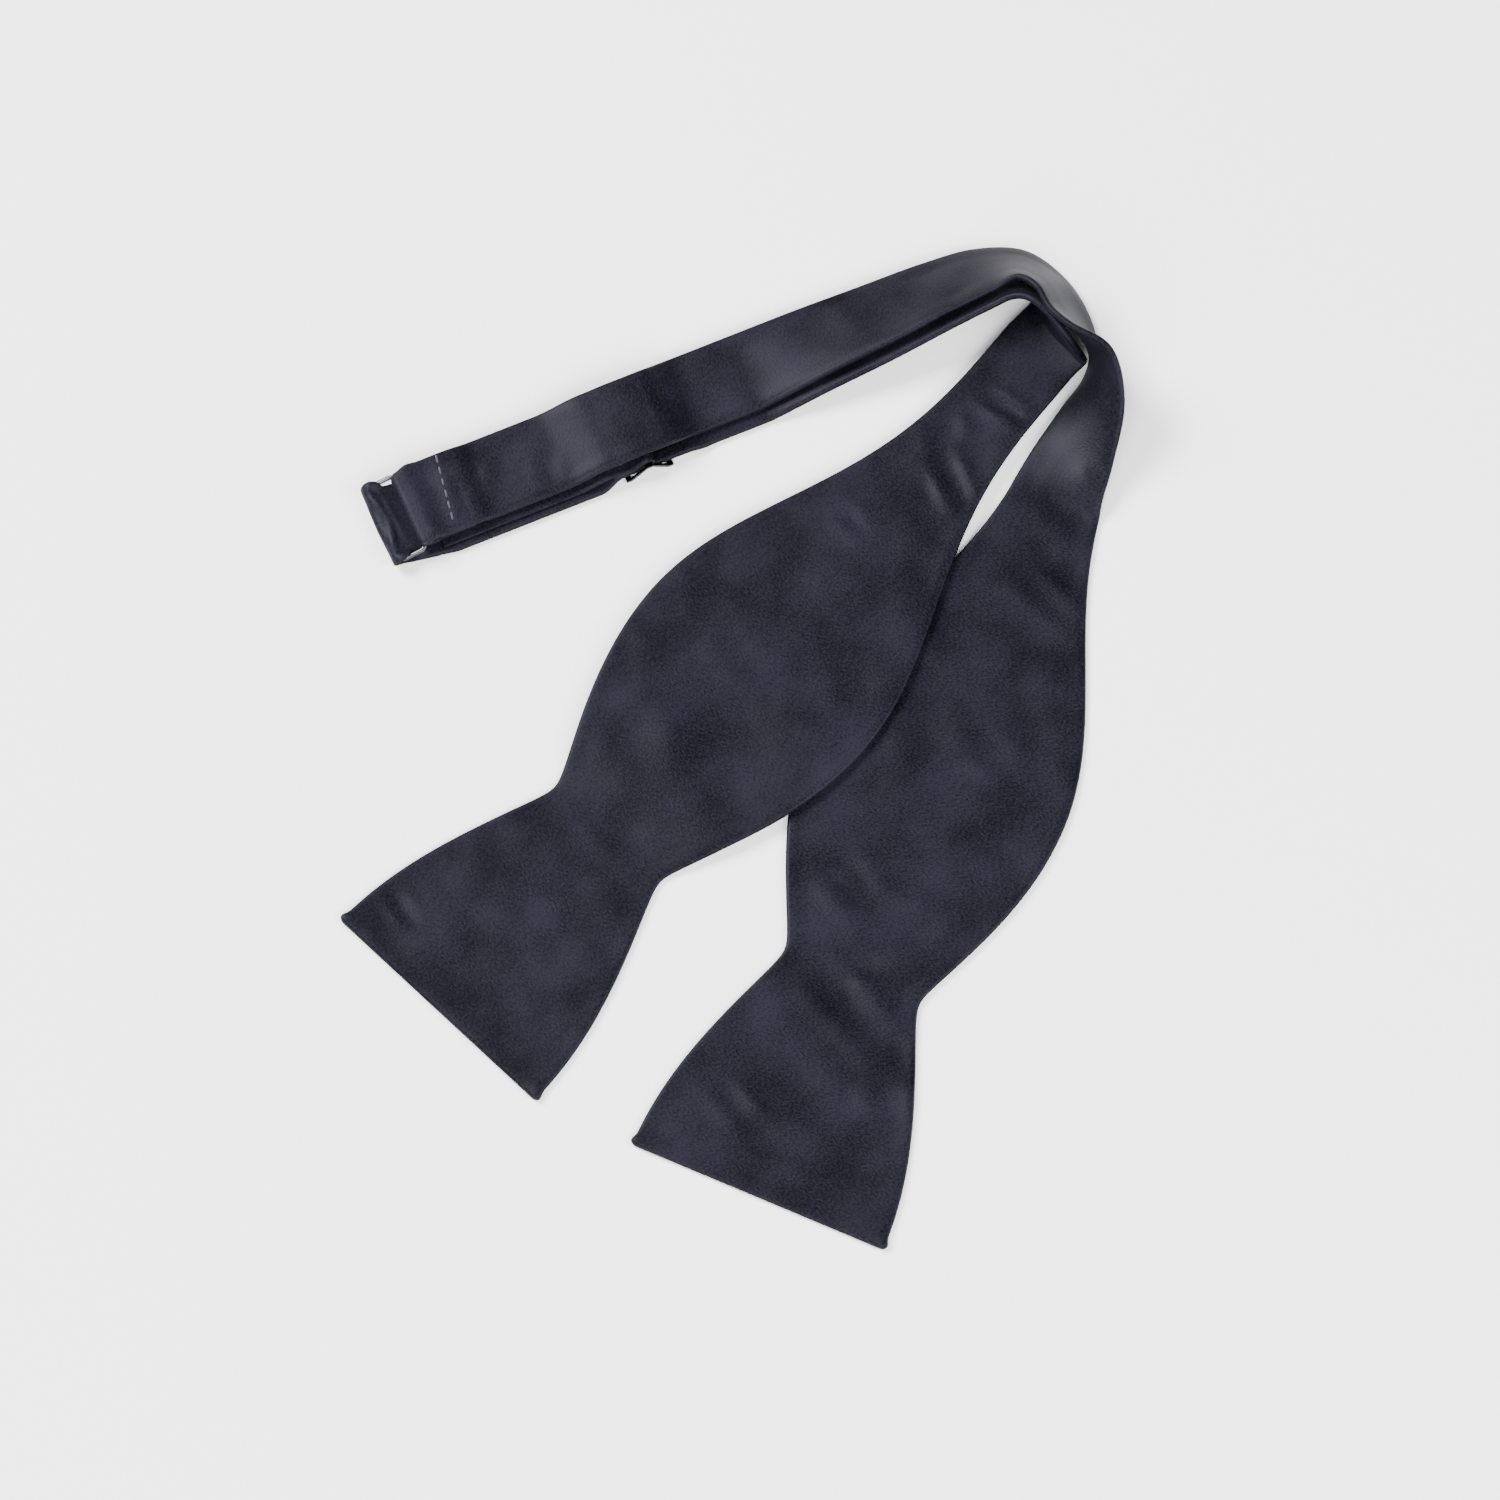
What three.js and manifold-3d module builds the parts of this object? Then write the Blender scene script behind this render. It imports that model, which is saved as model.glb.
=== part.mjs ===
// Self-tie adjustable bow tie, laid down folded. Millimetres, +Z up.
//
// The tie is two silk ribbons. The ring half ends in a loop sewn round a metal ring, and the
// strap half runs through that ring and back to a slider that sets the neck size. Laid down,
// the ring half is the outer ribbon of the turn: its neckband lies on top and its blade below.
// The strap half lies inside it. Each ribbon is an outer panel of silk, an interlining and an
// inner panel, and each panel is made in stretches that meet where the cloth flexes.

import * as THREE from 'three';
import { mergeVertices } from 'three/addons/utils/BufferGeometryUtils.js';
import Module from 'manifold-3d';

// ---------------------------------------------------------------- driving dimensions

// Ribbon outline, with distances along a half measured from the square end of its blade.
const BAND_WIDTH = 21;
const TIP_WIDTH = 67;
const WAIST_WIDTH = 36;
const BULGE_WIDTH = 67.4;
const WAIST_FROM_TIP = 62;
const BULGE_FROM_TIP = 118;
const NECK_FROM_TIP = 222;
const WAIST_ROUNDING = 1.2;

// Cloth.
const SILK = 0.35;              // one panel
const INTERLINING = 0.5;
const PLY_GAP = 0.25;           // between the plies of one ribbon
const STRAP = 0.6;              // strap and loop ends, which hold no interlining
const SEAM_INSET = 1.2;         // the interlining stops this far inside the edge seams
const LAYER_GAP = 0.3;          // between pieces that lie on each other
const SPLIT_GAP = 0.3;          // between two stretches of one panel

// Ring, and the two loops gathered inside it.
const RING_WIRE = 1.2;
const RING_PITCH = 7.6;         // between the centre lines of its two bars
const RING_CORNER = 2.4;
const RING_SIDE_GAP = 0.5;      // edge of a loop to the inside of the ring
const LOOP_PINCH = 1.2;         // each side of a loop is drawn in by this
const LOOP_SLACK = 0.45;        // round the bar in the strap's loop
const LOOP_REACH = 7.5;         // of the strap's loop beyond the fold of the ring half

// Slider: two low outer bars under the strap and a centre bar above it.
const SLIDER_BAR = 0.8;         // thickness of a bar
const SLIDER_BAR_LENGTH = 1.4;  // of a bar, along the strap
const SLIDER_RAIL = 0.6;
const SLIDER_PITCH = 5.5;       // centre bar to outer bar
const SLIDER_FROM_FOLD = 60;    // centre bar from the sewn end of the ring half
const SLIDER_TRAVEL = 4;

// Sewing.
const THREAD = 0.45;
const STITCH_PITCH = 3.1;
const STITCH_LENGTH = 2.1;
const STITCH_GAP = 0.12;        // thread to cloth
const STITCH_SLANT = 9;         // degrees, of the row at the ring
const RING_LOOP_LENGTH = 15;    // folded-back end of the ring half
const RING_STITCHES = 11.3;     // stitch row from the fold
const STRAP_HEM = 9;            // folded-back end of the strap
const HEM_STITCHES = 6.5;       // stitch row from the slider's centre bar

// Where the parts of the two halves lie in plan. Headings are degrees from +X.
const BAND_HEADING = 23;
const BAND_START = [-81.7, 61.2];
const TURN_FROM_FOLD = 92;      // the straight neckband ends here and the turn starts

// Sideways places on the neckband, towards the far side, from its line through BAND_START.
const RING_SIDE = -2.6;         // ring and loops
const SLIDER_SIDE = -4.3;       // slider and the strap's way back to it
const RING_HALF_SIDE = -1.6;    // ring half, from the ring to the slider
const RING_HALF_TURN_SIDE = -0.2;
const STRAP_HALF_SIDE = -5.1;   // strap half, at the ring
const STRAP_HALF_TURN_SIDE = -3.3;
const RING_STITCH_SIDE = -0.5;

// A blade starts at its neck and bends evenly to its tip. Its cross lines are skewed by as
// much as skew, in degrees, from the waist to the tip.
const LOWER_BLADE = {
  neck: [78.1, 62.7], neckFromTip: 196, heading: -111.7, bend: -0.1, skew: -2.4,
};
const UPPER_BLADE = {
  neck: [75, 102.7], neckFromTip: 227.5, heading: -128.4, bend: -4, skew: -2.4,
};
const UPPER_DROP_FROM_TIP = 84; // the upper blade comes down beside the lower one from here

// The turn, from the neckband to the neck of each blade. The far edge of the ribbon passes
// through a point in plan, and from there the ribbon spans to its near edge along an azimuth
// and an elevation in degrees. A span longer than the width crosses the ribbon at a slant.
// Where onTop is 1 the far edge lies on the other ribbon, and where it is 0 on the table.
const RING_HALF_TURN = [
  { far: [14, 112.9], azimuth: -67, elevation: 12, onTop: 1 },
  { far: [30.2, 119.3], azimuth: -67, elevation: 21, onTop: 1 },
  { far: [45.6, 125.4], azimuth: -68, elevation: 30, onTop: 0.9 },
  { far: [58.7, 129.5], azimuth: -74, elevation: 38, onTop: 0.6 },
  { far: [71.2, 129.2], azimuth: -98, elevation: 50, onTop: 0.25 },
  { far: [80.4, 122.4], azimuth: -128, elevation: 62 },
  { far: [86, 113.6], azimuth: -147, elevation: 71 },
  { far: [88.2, 104.6], azimuth: -160, elevation: 83 },
  { far: [85.9, 95.7], azimuth: 2, elevation: 74 },
  { far: [79.9, 87.6], azimuth: -12, elevation: 42 },
  { far: [73.2, 77.5], azimuth: -19, elevation: 16 },
  { far: [69.4, 69.6], azimuth: -20.8, elevation: 5 },
];
const STRAP_HALF_TURN = [
  { far: [15.3, 110.1], azimuth: -67, elevation: 11 },
  { far: [31.1, 116.3], azimuth: -67, elevation: 20 },
  { far: [46.4, 122.3], azimuth: -68, elevation: 29 },
  { far: [58.5, 125.8], azimuth: -75, elevation: 37 },
  { far: [67, 125.8], azimuth: -86, elevation: 46 },
  { far: [71.8, 123], azimuth: -90, elevation: 53 },
  { far: [73.4, 119.6], azimuth: -77, elevation: 52, span: 1.02 },
  { far: [73.2, 117.1], azimuth: -62, elevation: 36, span: 1.08, onTop: 0.3 },
  { far: [72.1, 115.2], azimuth: -52, elevation: 16, span: 1.08, onTop: 0.6 },
  { far: [70.6, 113.3], azimuth: -44, elevation: 4, span: 1.02, onTop: 1 },
];

// ---------------------------------------------------------------- values worked out from them

const RIBBON = 2 * SILK + INTERLINING + 2 * PLY_GAP;
const HALF_BAND = BAND_WIDTH / 2;
const GROUND = RIBBON / 2;                                  // middle of a ribbon on the table
const SECOND = GROUND + RIBBON + LAYER_GAP;                 // middle of a ribbon on another
const RETURN_Z = RIBBON + LAYER_GAP + STRAP / 2;            // strap lying on the strap half
const TAIL_Z = RETURN_Z + STRAP + LAYER_GAP;                // loop end lying on that strap
const LOOP_WIDTH = BAND_WIDTH - 2 * LOOP_PINCH;
const RING_LOOP_RADIUS = RING_WIRE / 2 + LAYER_GAP + STRAP / 2;
const RING_BAR_X = RING_LOOP_RADIUS + STRAP / 2;
const RING_BAR_Z = TAIL_Z + RING_LOOP_RADIUS;
const STRAP_LOOP_RADIUS = RING_WIRE / 2 + LOOP_SLACK + STRAP / 2;
const OVER_LOOP = LAYER_GAP + (STRAP + RIBBON) / 2;         // strap middle to ribbon middle
const RAISED = SLIDER_BAR + LAYER_GAP + GROUND;             // strap half over the outer bars
const HEM_Z = RAISED + OVER_LOOP;
const CENTRE_BAR_Z = HEM_Z + STRAP / 2 + LAYER_GAP + SLIDER_BAR / 2;
const HEM_RADIUS = SLIDER_BAR / 2 + LAYER_GAP + STRAP / 2;
const STRAP_PINCH = SLIDER_RAIL + LAYER_GAP;                // each side, inside the slider
const SLIDER_END = SLIDER_FROM_FOLD + SLIDER_PITCH + SLIDER_BAR_LENGTH / 2 + SLIDER_TRAVEL;

const RAMP = 6;                 // a ribbon climbs over a piece in about this length
const LOOP_RISE = 0.75;         // of the ring half, from its folded-back end to its loop

// ---------------------------------------------------------------- materials

const silk = () => new THREE.MeshStandardMaterial({ color: 0x1d2233, roughness: 0.5 });
const canvas = () => new THREE.MeshStandardMaterial({ color: 0xd9d3c4, roughness: 0.95 });
const thread = () => new THREE.MeshStandardMaterial({ color: 0x6f86b0, roughness: 0.7 });
const steel = () =>
  new THREE.MeshStandardMaterial({ color: 0xb9bcc2, roughness: 0.25, metalness: 1 });
const blackSteel = () =>
  new THREE.MeshStandardMaterial({ color: 0x17181c, roughness: 0.4, metalness: 1 });

function named(name, geometry, material) {
  const mesh = new THREE.Mesh(geometry, material);
  mesh.name = name;
  return mesh;
}

// ---------------------------------------------------------------- outline of a ribbon

// Quarter sine from 0 at the start to 1 at the end, flat at the end.
const swell = (value, start, end) => Math.sin((Math.PI / 2) * ((value - start) / (end - start)));

// From 0 upwards, rounded off at 0.
const rounded = (value) => Math.hypot(value, WAIST_ROUNDING) - WAIST_ROUNDING;

function halfWidth(fromTip) {
  const waist = WAIST_WIDTH / 2;
  if (fromTip >= NECK_FROM_TIP) return HALF_BAND;
  if (fromTip >= BULGE_FROM_TIP) {
    const share = swell(fromTip, NECK_FROM_TIP, BULGE_FROM_TIP);
    return THREE.MathUtils.lerp(HALF_BAND, BULGE_WIDTH / 2, share ** 3);
  }
  const [wide, share] = fromTip >= WAIST_FROM_TIP
    ? [BULGE_WIDTH / 2, swell(fromTip, WAIST_FROM_TIP, BULGE_FROM_TIP)]
    : [TIP_WIDTH / 2, swell(fromTip, WAIST_FROM_TIP, 0)];
  const reach = wide - waist;
  return waist + (reach * rounded(reach * share)) / rounded(reach);
}

// The strap half is drawn in where the slider's rails hold it.
function strapHalfWidth(fromTip, length) {
  const fromFold = length - fromTip;
  const middle = SLIDER_FROM_FOLD + SLIDER_TRAVEL / 2;
  const reach = SLIDER_PITCH + SLIDER_BAR_LENGTH / 2 + SLIDER_TRAVEL / 2;
  const outside = Math.abs(fromFold - middle) - reach;
  return halfWidth(fromTip) - STRAP_PINCH * (1 - THREE.MathUtils.smoothstep(outside, 0.5, RAMP));
}

// ---------------------------------------------------------------- path of a ribbon

const SAMPLES = 1500;
const BAND_STEP = 3;
const UP = new THREE.Vector3(0, 0, 1);

function direction(azimuth, elevation = 0) {
  const around = THREE.MathUtils.degToRad(azimuth);
  const rise = THREE.MathUtils.degToRad(elevation);
  return new THREE.Vector3(Math.cos(around), Math.sin(around), 0)
    .multiplyScalar(Math.cos(rise))
    .addScaledVector(UP, Math.sin(rise));
}

// A ribbon of the neckband's width, spanned between its far and its near edge. Stations run
// from the ring end to the square end of the blade, and each has a point on both edges.
class RibbonPath {
  constructor(stations) {
    const edge = (side) =>
      new THREE.CatmullRomCurve3(stations.map((station) => station[side]), false, 'centripetal');
    this.farEdge = edge('far');
    this.nearEdge = edge('near');
    this.lengths = [0];
    for (let i = 1; i <= SAMPLES; i += 1) {
      const step = this.middle(1 - i / SAMPLES).distanceTo(this.middle(1 - (i - 1) / SAMPLES));
      this.lengths.push(this.lengths[i - 1] + step);
    }
    this.length = this.lengths[SAMPLES];
  }

  middle(t) {
    return this.point(t, 0.5);
  }

  // Parameter of the edges at a distance along the middle line from the square end.
  parameterAt(fromTip) {
    const after = this.lengths.findIndex((length) => length >= fromTip);
    if (after < 1) return after === 0 ? 1 : 0;
    const [low, high] = [this.lengths[after - 1], this.lengths[after]];
    return 1 - (after - 1 + (fromTip - low) / (high - low)) / SAMPLES;
  }

  // A point, share 0 on the far edge and 1 on the near edge of the neckband's width. No part
  // of the middle surface is lower than on the table.
  point(t, share) {
    const point = this.farEdge.getPoint(t).lerp(this.nearEdge.getPoint(t), share);
    return point.setZ(Math.max(point.z, GROUND));
  }

  // Towards the outer side of the turn, which is up on the neckband and down on the blade.
  outward(t, share) {
    const small = 0.5 / SAMPLES;
    const along = this.point(Math.min(t + small, 1), share)
      .sub(this.point(Math.max(t - small, 0), share));
    return this.nearEdge.getPoint(t).sub(this.farEdge.getPoint(t)).cross(along).normalize();
  }
}

// A flat ribbon at a middle point, with the azimuth from its far to its near edge.
function flatStation(middle, acrossAzimuth) {
  const across = direction(acrossAzimuth).multiplyScalar(HALF_BAND);
  return { far: middle.clone().sub(across), near: middle.clone().add(across) };
}

function bandStation(fromFold, side, z) {
  const middle = new THREE.Vector3(BAND_START[0], BAND_START[1], z);
  middle.addScaledVector(direction(BAND_HEADING), fromFold);
  middle.addScaledVector(direction(BAND_HEADING + 90), side);
  return flatStation(middle, BAND_HEADING - 90);
}

// The values at a place on a run of [place, ...values], eased from each entry to the next.
function easedValues(run, at) {
  const next = Math.max(1, run.findIndex(([place]) => place >= at));
  const [[start, ...before], [end, ...after]] = [run[next - 1], run[next]];
  const share = THREE.MathUtils.smoothstep(at, start, end);
  return before.map((value, i) => THREE.MathUtils.lerp(value, after[i], share));
}

// Stations of the neckband along a run of [distance from the fold, height, side].
function bandStations(run) {
  const [start, end] = [run[0][0], run.at(-1)[0]];
  const count = Math.round((end - start) / BAND_STEP);
  return Array.from({ length: count + 1 }, (_, i) => {
    const fromFold = THREE.MathUtils.lerp(start, end, i / count);
    const [z, side] = easedValues(run, fromFold);
    return bandStation(fromFold, side, z);
  });
}

function turnStation({ far, azimuth, elevation, span = 1, onTop = 0 }) {
  const start = new THREE.Vector3(far[0], far[1], THREE.MathUtils.lerp(GROUND, SECOND, onTop));
  const across = direction(azimuth, elevation).multiplyScalar(span * BAND_WIDTH);
  return { far: start, near: start.clone().add(across) };
}

function bladeStation({ neck, neckFromTip, heading, bend, skew }, fromTip, z) {
  const along = neckFromTip - fromTip;
  const turned = (bend * along) / neckFromTip;
  const skewed = skew * (1 - THREE.MathUtils.smoothstep(fromTip, WAIST_FROM_TIP, NECK_FROM_TIP));
  const middle = new THREE.Vector3(neck[0], neck[1], z);
  middle.addScaledVector(direction(heading + turned / 2), along);
  return flatStation(middle, heading + turned + skewed + 90);
}

function ringHalfPath() {
  const overTail = TAIL_Z + OVER_LOOP;
  const overReturn = RETURN_Z + OVER_LOOP;
  const overHem = HEM_Z + STRAP + LAYER_GAP + 1.5 * THREAD + OVER_LOOP;
  const overSlider = CENTRE_BAR_Z + HEM_RADIUS + OVER_LOOP;
  const hemStart = SLIDER_FROM_FOLD - STRAP_HEM;
  const band = bandStations([
    [RING_BAR_X + 3, overTail + LOOP_RISE, RING_HALF_SIDE],
    [RING_BAR_X + 6, overTail, RING_HALF_SIDE],
    [RING_LOOP_LENGTH, overTail, RING_HALF_SIDE],
    [RING_LOOP_LENGTH + RAMP, overReturn, RING_HALF_SIDE],
    [hemStart - 2 * RAMP, overReturn, RING_HALF_SIDE],
    [hemStart, overHem, RING_HALF_SIDE],
    [SLIDER_FROM_FOLD - 2, overSlider, RING_HALF_SIDE],
    [SLIDER_FROM_FOLD + SLIDER_TRAVEL + 2, overSlider, RING_HALF_SIDE],
    [SLIDER_END + RAMP, SECOND, RING_HALF_TURN_SIDE],
    [TURN_FROM_FOLD, SECOND, RING_HALF_TURN_SIDE],
  ]);
  const blade = [LOWER_BLADE.neckFromTip, 180, 150, 100, WAIST_FROM_TIP, 30, 0].map((fromTip) =>
    bladeStation(LOWER_BLADE, fromTip, GROUND));
  return new RibbonPath([...band, ...RING_HALF_TURN.map(turnStation), ...blade]);
}

function strapHalfPath() {
  const raisedFrom = SLIDER_FROM_FOLD - SLIDER_PITCH - SLIDER_BAR_LENGTH;
  const band = bandStations([
    [RING_BAR_X + 1.5, GROUND, STRAP_HALF_SIDE],
    [20, GROUND, STRAP_HALF_SIDE],
    [raisedFrom - RAMP, GROUND, STRAP_HALF_SIDE],
    [raisedFrom, RAISED, SLIDER_SIDE],
    [SLIDER_END + 1, RAISED, SLIDER_SIDE],
    [SLIDER_END + 1 + RAMP, GROUND, STRAP_HALF_TURN_SIDE],
    [TURN_FROM_FOLD, GROUND, STRAP_HALF_TURN_SIDE],
  ]);
  const drop = [[0, GROUND], [WAIST_FROM_TIP, GROUND], [UPPER_DROP_FROM_TIP, SECOND]];
  const dropStep = (UPPER_DROP_FROM_TIP - WAIST_FROM_TIP) / 6;
  const blade = [UPPER_BLADE.neckFromTip, UPPER_BLADE.neckFromTip - 10, 150, 100].map((fromTip) =>
    bladeStation(UPPER_BLADE, fromTip, SECOND));
  for (let fromTip = UPPER_DROP_FROM_TIP; fromTip > WAIST_FROM_TIP; fromTip -= dropStep) {
    blade.push(bladeStation(UPPER_BLADE, fromTip, ...easedValues(drop, fromTip)));
  }
  blade.push(...[WAIST_FROM_TIP, 50, 25, 0].map((fromTip) =>
    bladeStation(UPPER_BLADE, fromTip, GROUND)));
  return new RibbonPath([...band, ...STRAP_HALF_TURN.map(turnStation), ...blade]);
}

// ---------------------------------------------------------------- ribbon panels

// A box bent along the path: offset is from the ribbon's middle towards its outer side.
function panel(half, from, to, step, offset, thickness, inset) {
  const columns = Math.ceil((to - from) / step);
  const geometry = new THREE.BoxGeometry(1, 1, thickness, columns, 2, 1);
  const position = geometry.getAttribute('position');
  const vertex = new THREE.Vector3();
  for (let i = 0; i < position.count; i += 1) {
    vertex.fromBufferAttribute(position, i);
    const fromTip = THREE.MathUtils.lerp(to, from, vertex.x + 0.5);
    const t = half.path.parameterAt(fromTip);
    const share = 0.5 - (vertex.y * 2 * (half.widthAt(fromTip) - inset)) / BAND_WIDTH;
    const point = half.path.point(t, share);
    point.addScaledVector(half.path.outward(t, share), offset + vertex.z);
    position.setXYZ(i, point.x, point.y, point.z);
  }
  return geometry;
}

// The three plies of one stretch of a ribbon, from its distance to the tip at either end.
function stretch(half, name, from, to, step) {
  const shellOffset = (RIBBON - SILK) / 2;
  const near = from === 0 ? 0 : from + SPLIT_GAP / 2;
  const far = to - SPLIT_GAP / 2;
  const hem = from === 0 ? SEAM_INSET : near;
  const label = `${half.name}_${name}`;
  return [
    named(`${label}_outer`, panel(half, near, far, step, shellOffset, SILK, 0), silk()),
    named(`${label}_interlining`, panel(half, hem, far, step, 0, INTERLINING, SEAM_INSET), canvas()),
    named(`${label}_inner`, panel(half, near, far, step, -shellOffset, SILK, 0), silk()),
  ];
}

function ribbonHalf(half) {
  const turnStart = half.path.length - TURN_FROM_FOLD + RING_BAR_X;
  return [
    ...stretch(half, 'tip', 0, WAIST_FROM_TIP, 6),
    ...stretch(half, 'blade', WAIST_FROM_TIP, half.turnEnd, 6),
    ...stretch(half, 'turn', half.turnEnd, turnStart, 2.4),
    ...stretch(half, 'band', turnStart, half.path.length, 3),
  ];
}

// ---------------------------------------------------------------- pieces at the ring end

// These are made in the neckband's own frame: x from the fold, y across to the far side.

// A strap of constant thickness that follows a side-view line, laid across the band.
function strapAlong(points, width) {
  const line = new THREE.SplineCurve(points.map(([x, z]) => new THREE.Vector2(x, z)));
  const count = 6 * points.length;
  const sides = [[], []];
  for (let i = 0; i <= count; i += 1) {
    const middle = line.getPoint(i / count);
    const tangent = line.getTangent(i / count);
    const normal = new THREE.Vector2(-tangent.y, tangent.x).multiplyScalar(STRAP / 2);
    sides[0].push(middle.clone().add(normal));
    sides[1].unshift(middle.clone().sub(normal));
  }
  const shape = new THREE.Shape([...sides[0], ...sides[1]]);
  const geometry = new THREE.ExtrudeGeometry(shape, { depth: width, bevelEnabled: false });
  return geometry.translate(0, 0, -width / 2).rotateX(Math.PI / 2);
}

// Points of an arc in side view, between two angles in degrees.
function arc(x, z, radius, from, to, steps) {
  return Array.from({ length: steps + 1 }, (_, i) => {
    const angle = THREE.MathUtils.degToRad(THREE.MathUtils.lerp(from, to, i / steps));
    return [x + radius * Math.cos(angle), z + radius * Math.sin(angle)];
  });
}

function ringHalfLoop() {
  const bandZ = TAIL_Z + OVER_LOOP + LOOP_RISE;
  const points = [
    [RING_BAR_X + 3 - SPLIT_GAP, bandZ],
    ...arc(RING_BAR_X, RING_BAR_Z, RING_LOOP_RADIUS, 80, 270, 8),
    [RING_BAR_X + 2.5, TAIL_Z],
    [RING_LOOP_LENGTH, TAIL_Z],
  ];
  return named('ring_half_loop', strapAlong(points, LOOP_WIDTH), silk());
}

// The far bar of the ring lies low in the strap's loop, so the ring leans.
function strapBar() {
  const x = STRAP_LOOP_RADIUS + STRAP / 2 - LOOP_REACH;
  const z = RING_BAR_Z - Math.sqrt(RING_PITCH ** 2 - (RING_BAR_X - x) ** 2);
  return { x, z };
}

function strapLoop() {
  const bar = strapBar();
  const points = [
    [RING_BAR_X + 1.5 - SPLIT_GAP, GROUND],
    [bar.x + 3, (GROUND + bar.z - STRAP_LOOP_RADIUS) / 2],
    ...arc(bar.x, bar.z, STRAP_LOOP_RADIUS, 270, 80, 8),
    [bar.x + 3.1, bar.z + STRAP_LOOP_RADIUS - 0.75],
    [RING_BAR_X - 0.2, RETURN_Z + 0.05],
    [RING_BAR_X + 2, RETURN_Z],
    [RING_BAR_X + 4, RETURN_Z],
  ];
  return named('strap_loop', strapAlong(points, LOOP_WIDTH), silk());
}

function strapReturn() {
  const start = RING_BAR_X + 4 + SPLIT_GAP;
  const hemStart = SLIDER_FROM_FOLD - STRAP_HEM;
  const overHem = HEM_Z + STRAP + LAYER_GAP;
  const points = [
    [start, RETURN_Z],
    [start + 4, RETURN_Z],
    [hemStart - 3 * RAMP, RETURN_Z],
    [hemStart - 1.5 * RAMP, RETURN_Z],
    [hemStart - 1, overHem],
    [SLIDER_FROM_FOLD - 4, overHem],
    ...arc(SLIDER_FROM_FOLD, CENTRE_BAR_Z, HEM_RADIUS, 100, 90, 1),
    ...arc(SLIDER_FROM_FOLD + SLIDER_BAR_LENGTH / 2 - 0.2, CENTRE_BAR_Z, HEM_RADIUS, 60, -60, 4),
    [SLIDER_FROM_FOLD - 0.5, HEM_Z],
    [SLIDER_FROM_FOLD - 4, HEM_Z],
    [hemStart, HEM_Z],
  ];
  return named('strap_return', strapAlong(points, BAND_WIDTH - 2 * STRAP_PINCH), silk());
}

// A row of stitches across a strap: one thread, raised at each stitch and low between them.
function stitchRow(name, count, slant) {
  const start = -((count - 1) / 2) * STITCH_PITCH;
  const points = Array.from({ length: count }, (_, i) => start + i * STITCH_PITCH).flatMap((y) => [
    new THREE.Vector3(0, y - STITCH_PITCH / 2, 0),
    new THREE.Vector3(0, y - STITCH_LENGTH / 3, THREAD / 2),
    new THREE.Vector3(0, y + STITCH_LENGTH / 3, THREAD / 2),
  ]);
  const section = new THREE.Shape().absarc(0, 0, THREAD / 2, 0, 2 * Math.PI, false);
  const geometry = new THREE.ExtrudeGeometry(section, {
    extrudePath: new THREE.CatmullRomCurve3(points),
    steps: 4 * count,
    curveSegments: 4,
    bevelEnabled: false,
  });
  return named(name, geometry.rotateZ(-THREE.MathUtils.degToRad(slant)), thread());
}

// ---------------------------------------------------------------- metal parts

const wasm = await Module();
wasm.setup();

function solid(geometry) {
  const bare = new THREE.BufferGeometry();
  bare.setAttribute('position', geometry.getAttribute('position'));
  bare.setIndex(geometry.getIndex());
  const merged = mergeVertices(bare, 1e-4);
  return new wasm.Manifold(new wasm.Mesh({
    numProp: 3,
    vertProperties: merged.getAttribute('position').array,
    triVerts: new Uint32Array(merged.getIndex().array),
  }));
}

function joined(geometries) {
  const result = geometries.map(solid).reduce((whole, next) => whole.add(next)).getMesh();
  const geometry = new THREE.BufferGeometry();
  geometry.setAttribute('position', new THREE.BufferAttribute(result.vertProperties, 3));
  geometry.setIndex(new THREE.BufferAttribute(result.triVerts, 1));
  geometry.computeVertexNormals();
  return geometry;
}

function roundedRectangle(target, length, width, corner) {
  const x = length / 2 - corner;
  const y = width / 2 - corner;
  target.absarc(x, y, corner, 0, Math.PI / 2, false);
  target.absarc(-x, y, corner, Math.PI / 2, Math.PI, false);
  target.absarc(-x, -y, corner, Math.PI, 1.5 * Math.PI, false);
  target.absarc(x, -y, corner, 1.5 * Math.PI, 2 * Math.PI, false);
  target.closePath();
  return target;
}

// Wire with an eight-sided section, bent to a rounded rectangle and laid at the ring's lean.
function adjusterRing() {
  const bar = strapBar();
  const inner = RING_PITCH - RING_WIRE;
  const innerWidth = LOOP_WIDTH + 2 * RING_SIDE_GAP;
  const bevel = RING_WIRE * 0.29;
  const shape = roundedRectangle(new THREE.Shape(), inner + 2 * (RING_WIRE - bevel),
    innerWidth + 2 * (RING_WIRE - bevel), RING_CORNER - bevel);
  shape.holes.push(roundedRectangle(new THREE.Path(), inner + 2 * bevel,
    innerWidth + 2 * bevel, RING_CORNER - RING_WIRE + bevel));
  const geometry = new THREE.ExtrudeGeometry(shape, {
    depth: RING_WIRE - 2 * bevel,
    bevelSize: bevel,
    bevelThickness: bevel,
    bevelSegments: 1,
    curveSegments: 5,
  });
  geometry.translate(0, 0, -(RING_WIRE - 2 * bevel) / 2);
  geometry.rotateY(-Math.atan2(RING_BAR_Z - bar.z, RING_BAR_X - bar.x));
  geometry.translate((RING_BAR_X + bar.x) / 2, 0, (RING_BAR_Z + bar.z) / 2);
  return named('adjuster_ring', geometry, steel());
}

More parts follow.
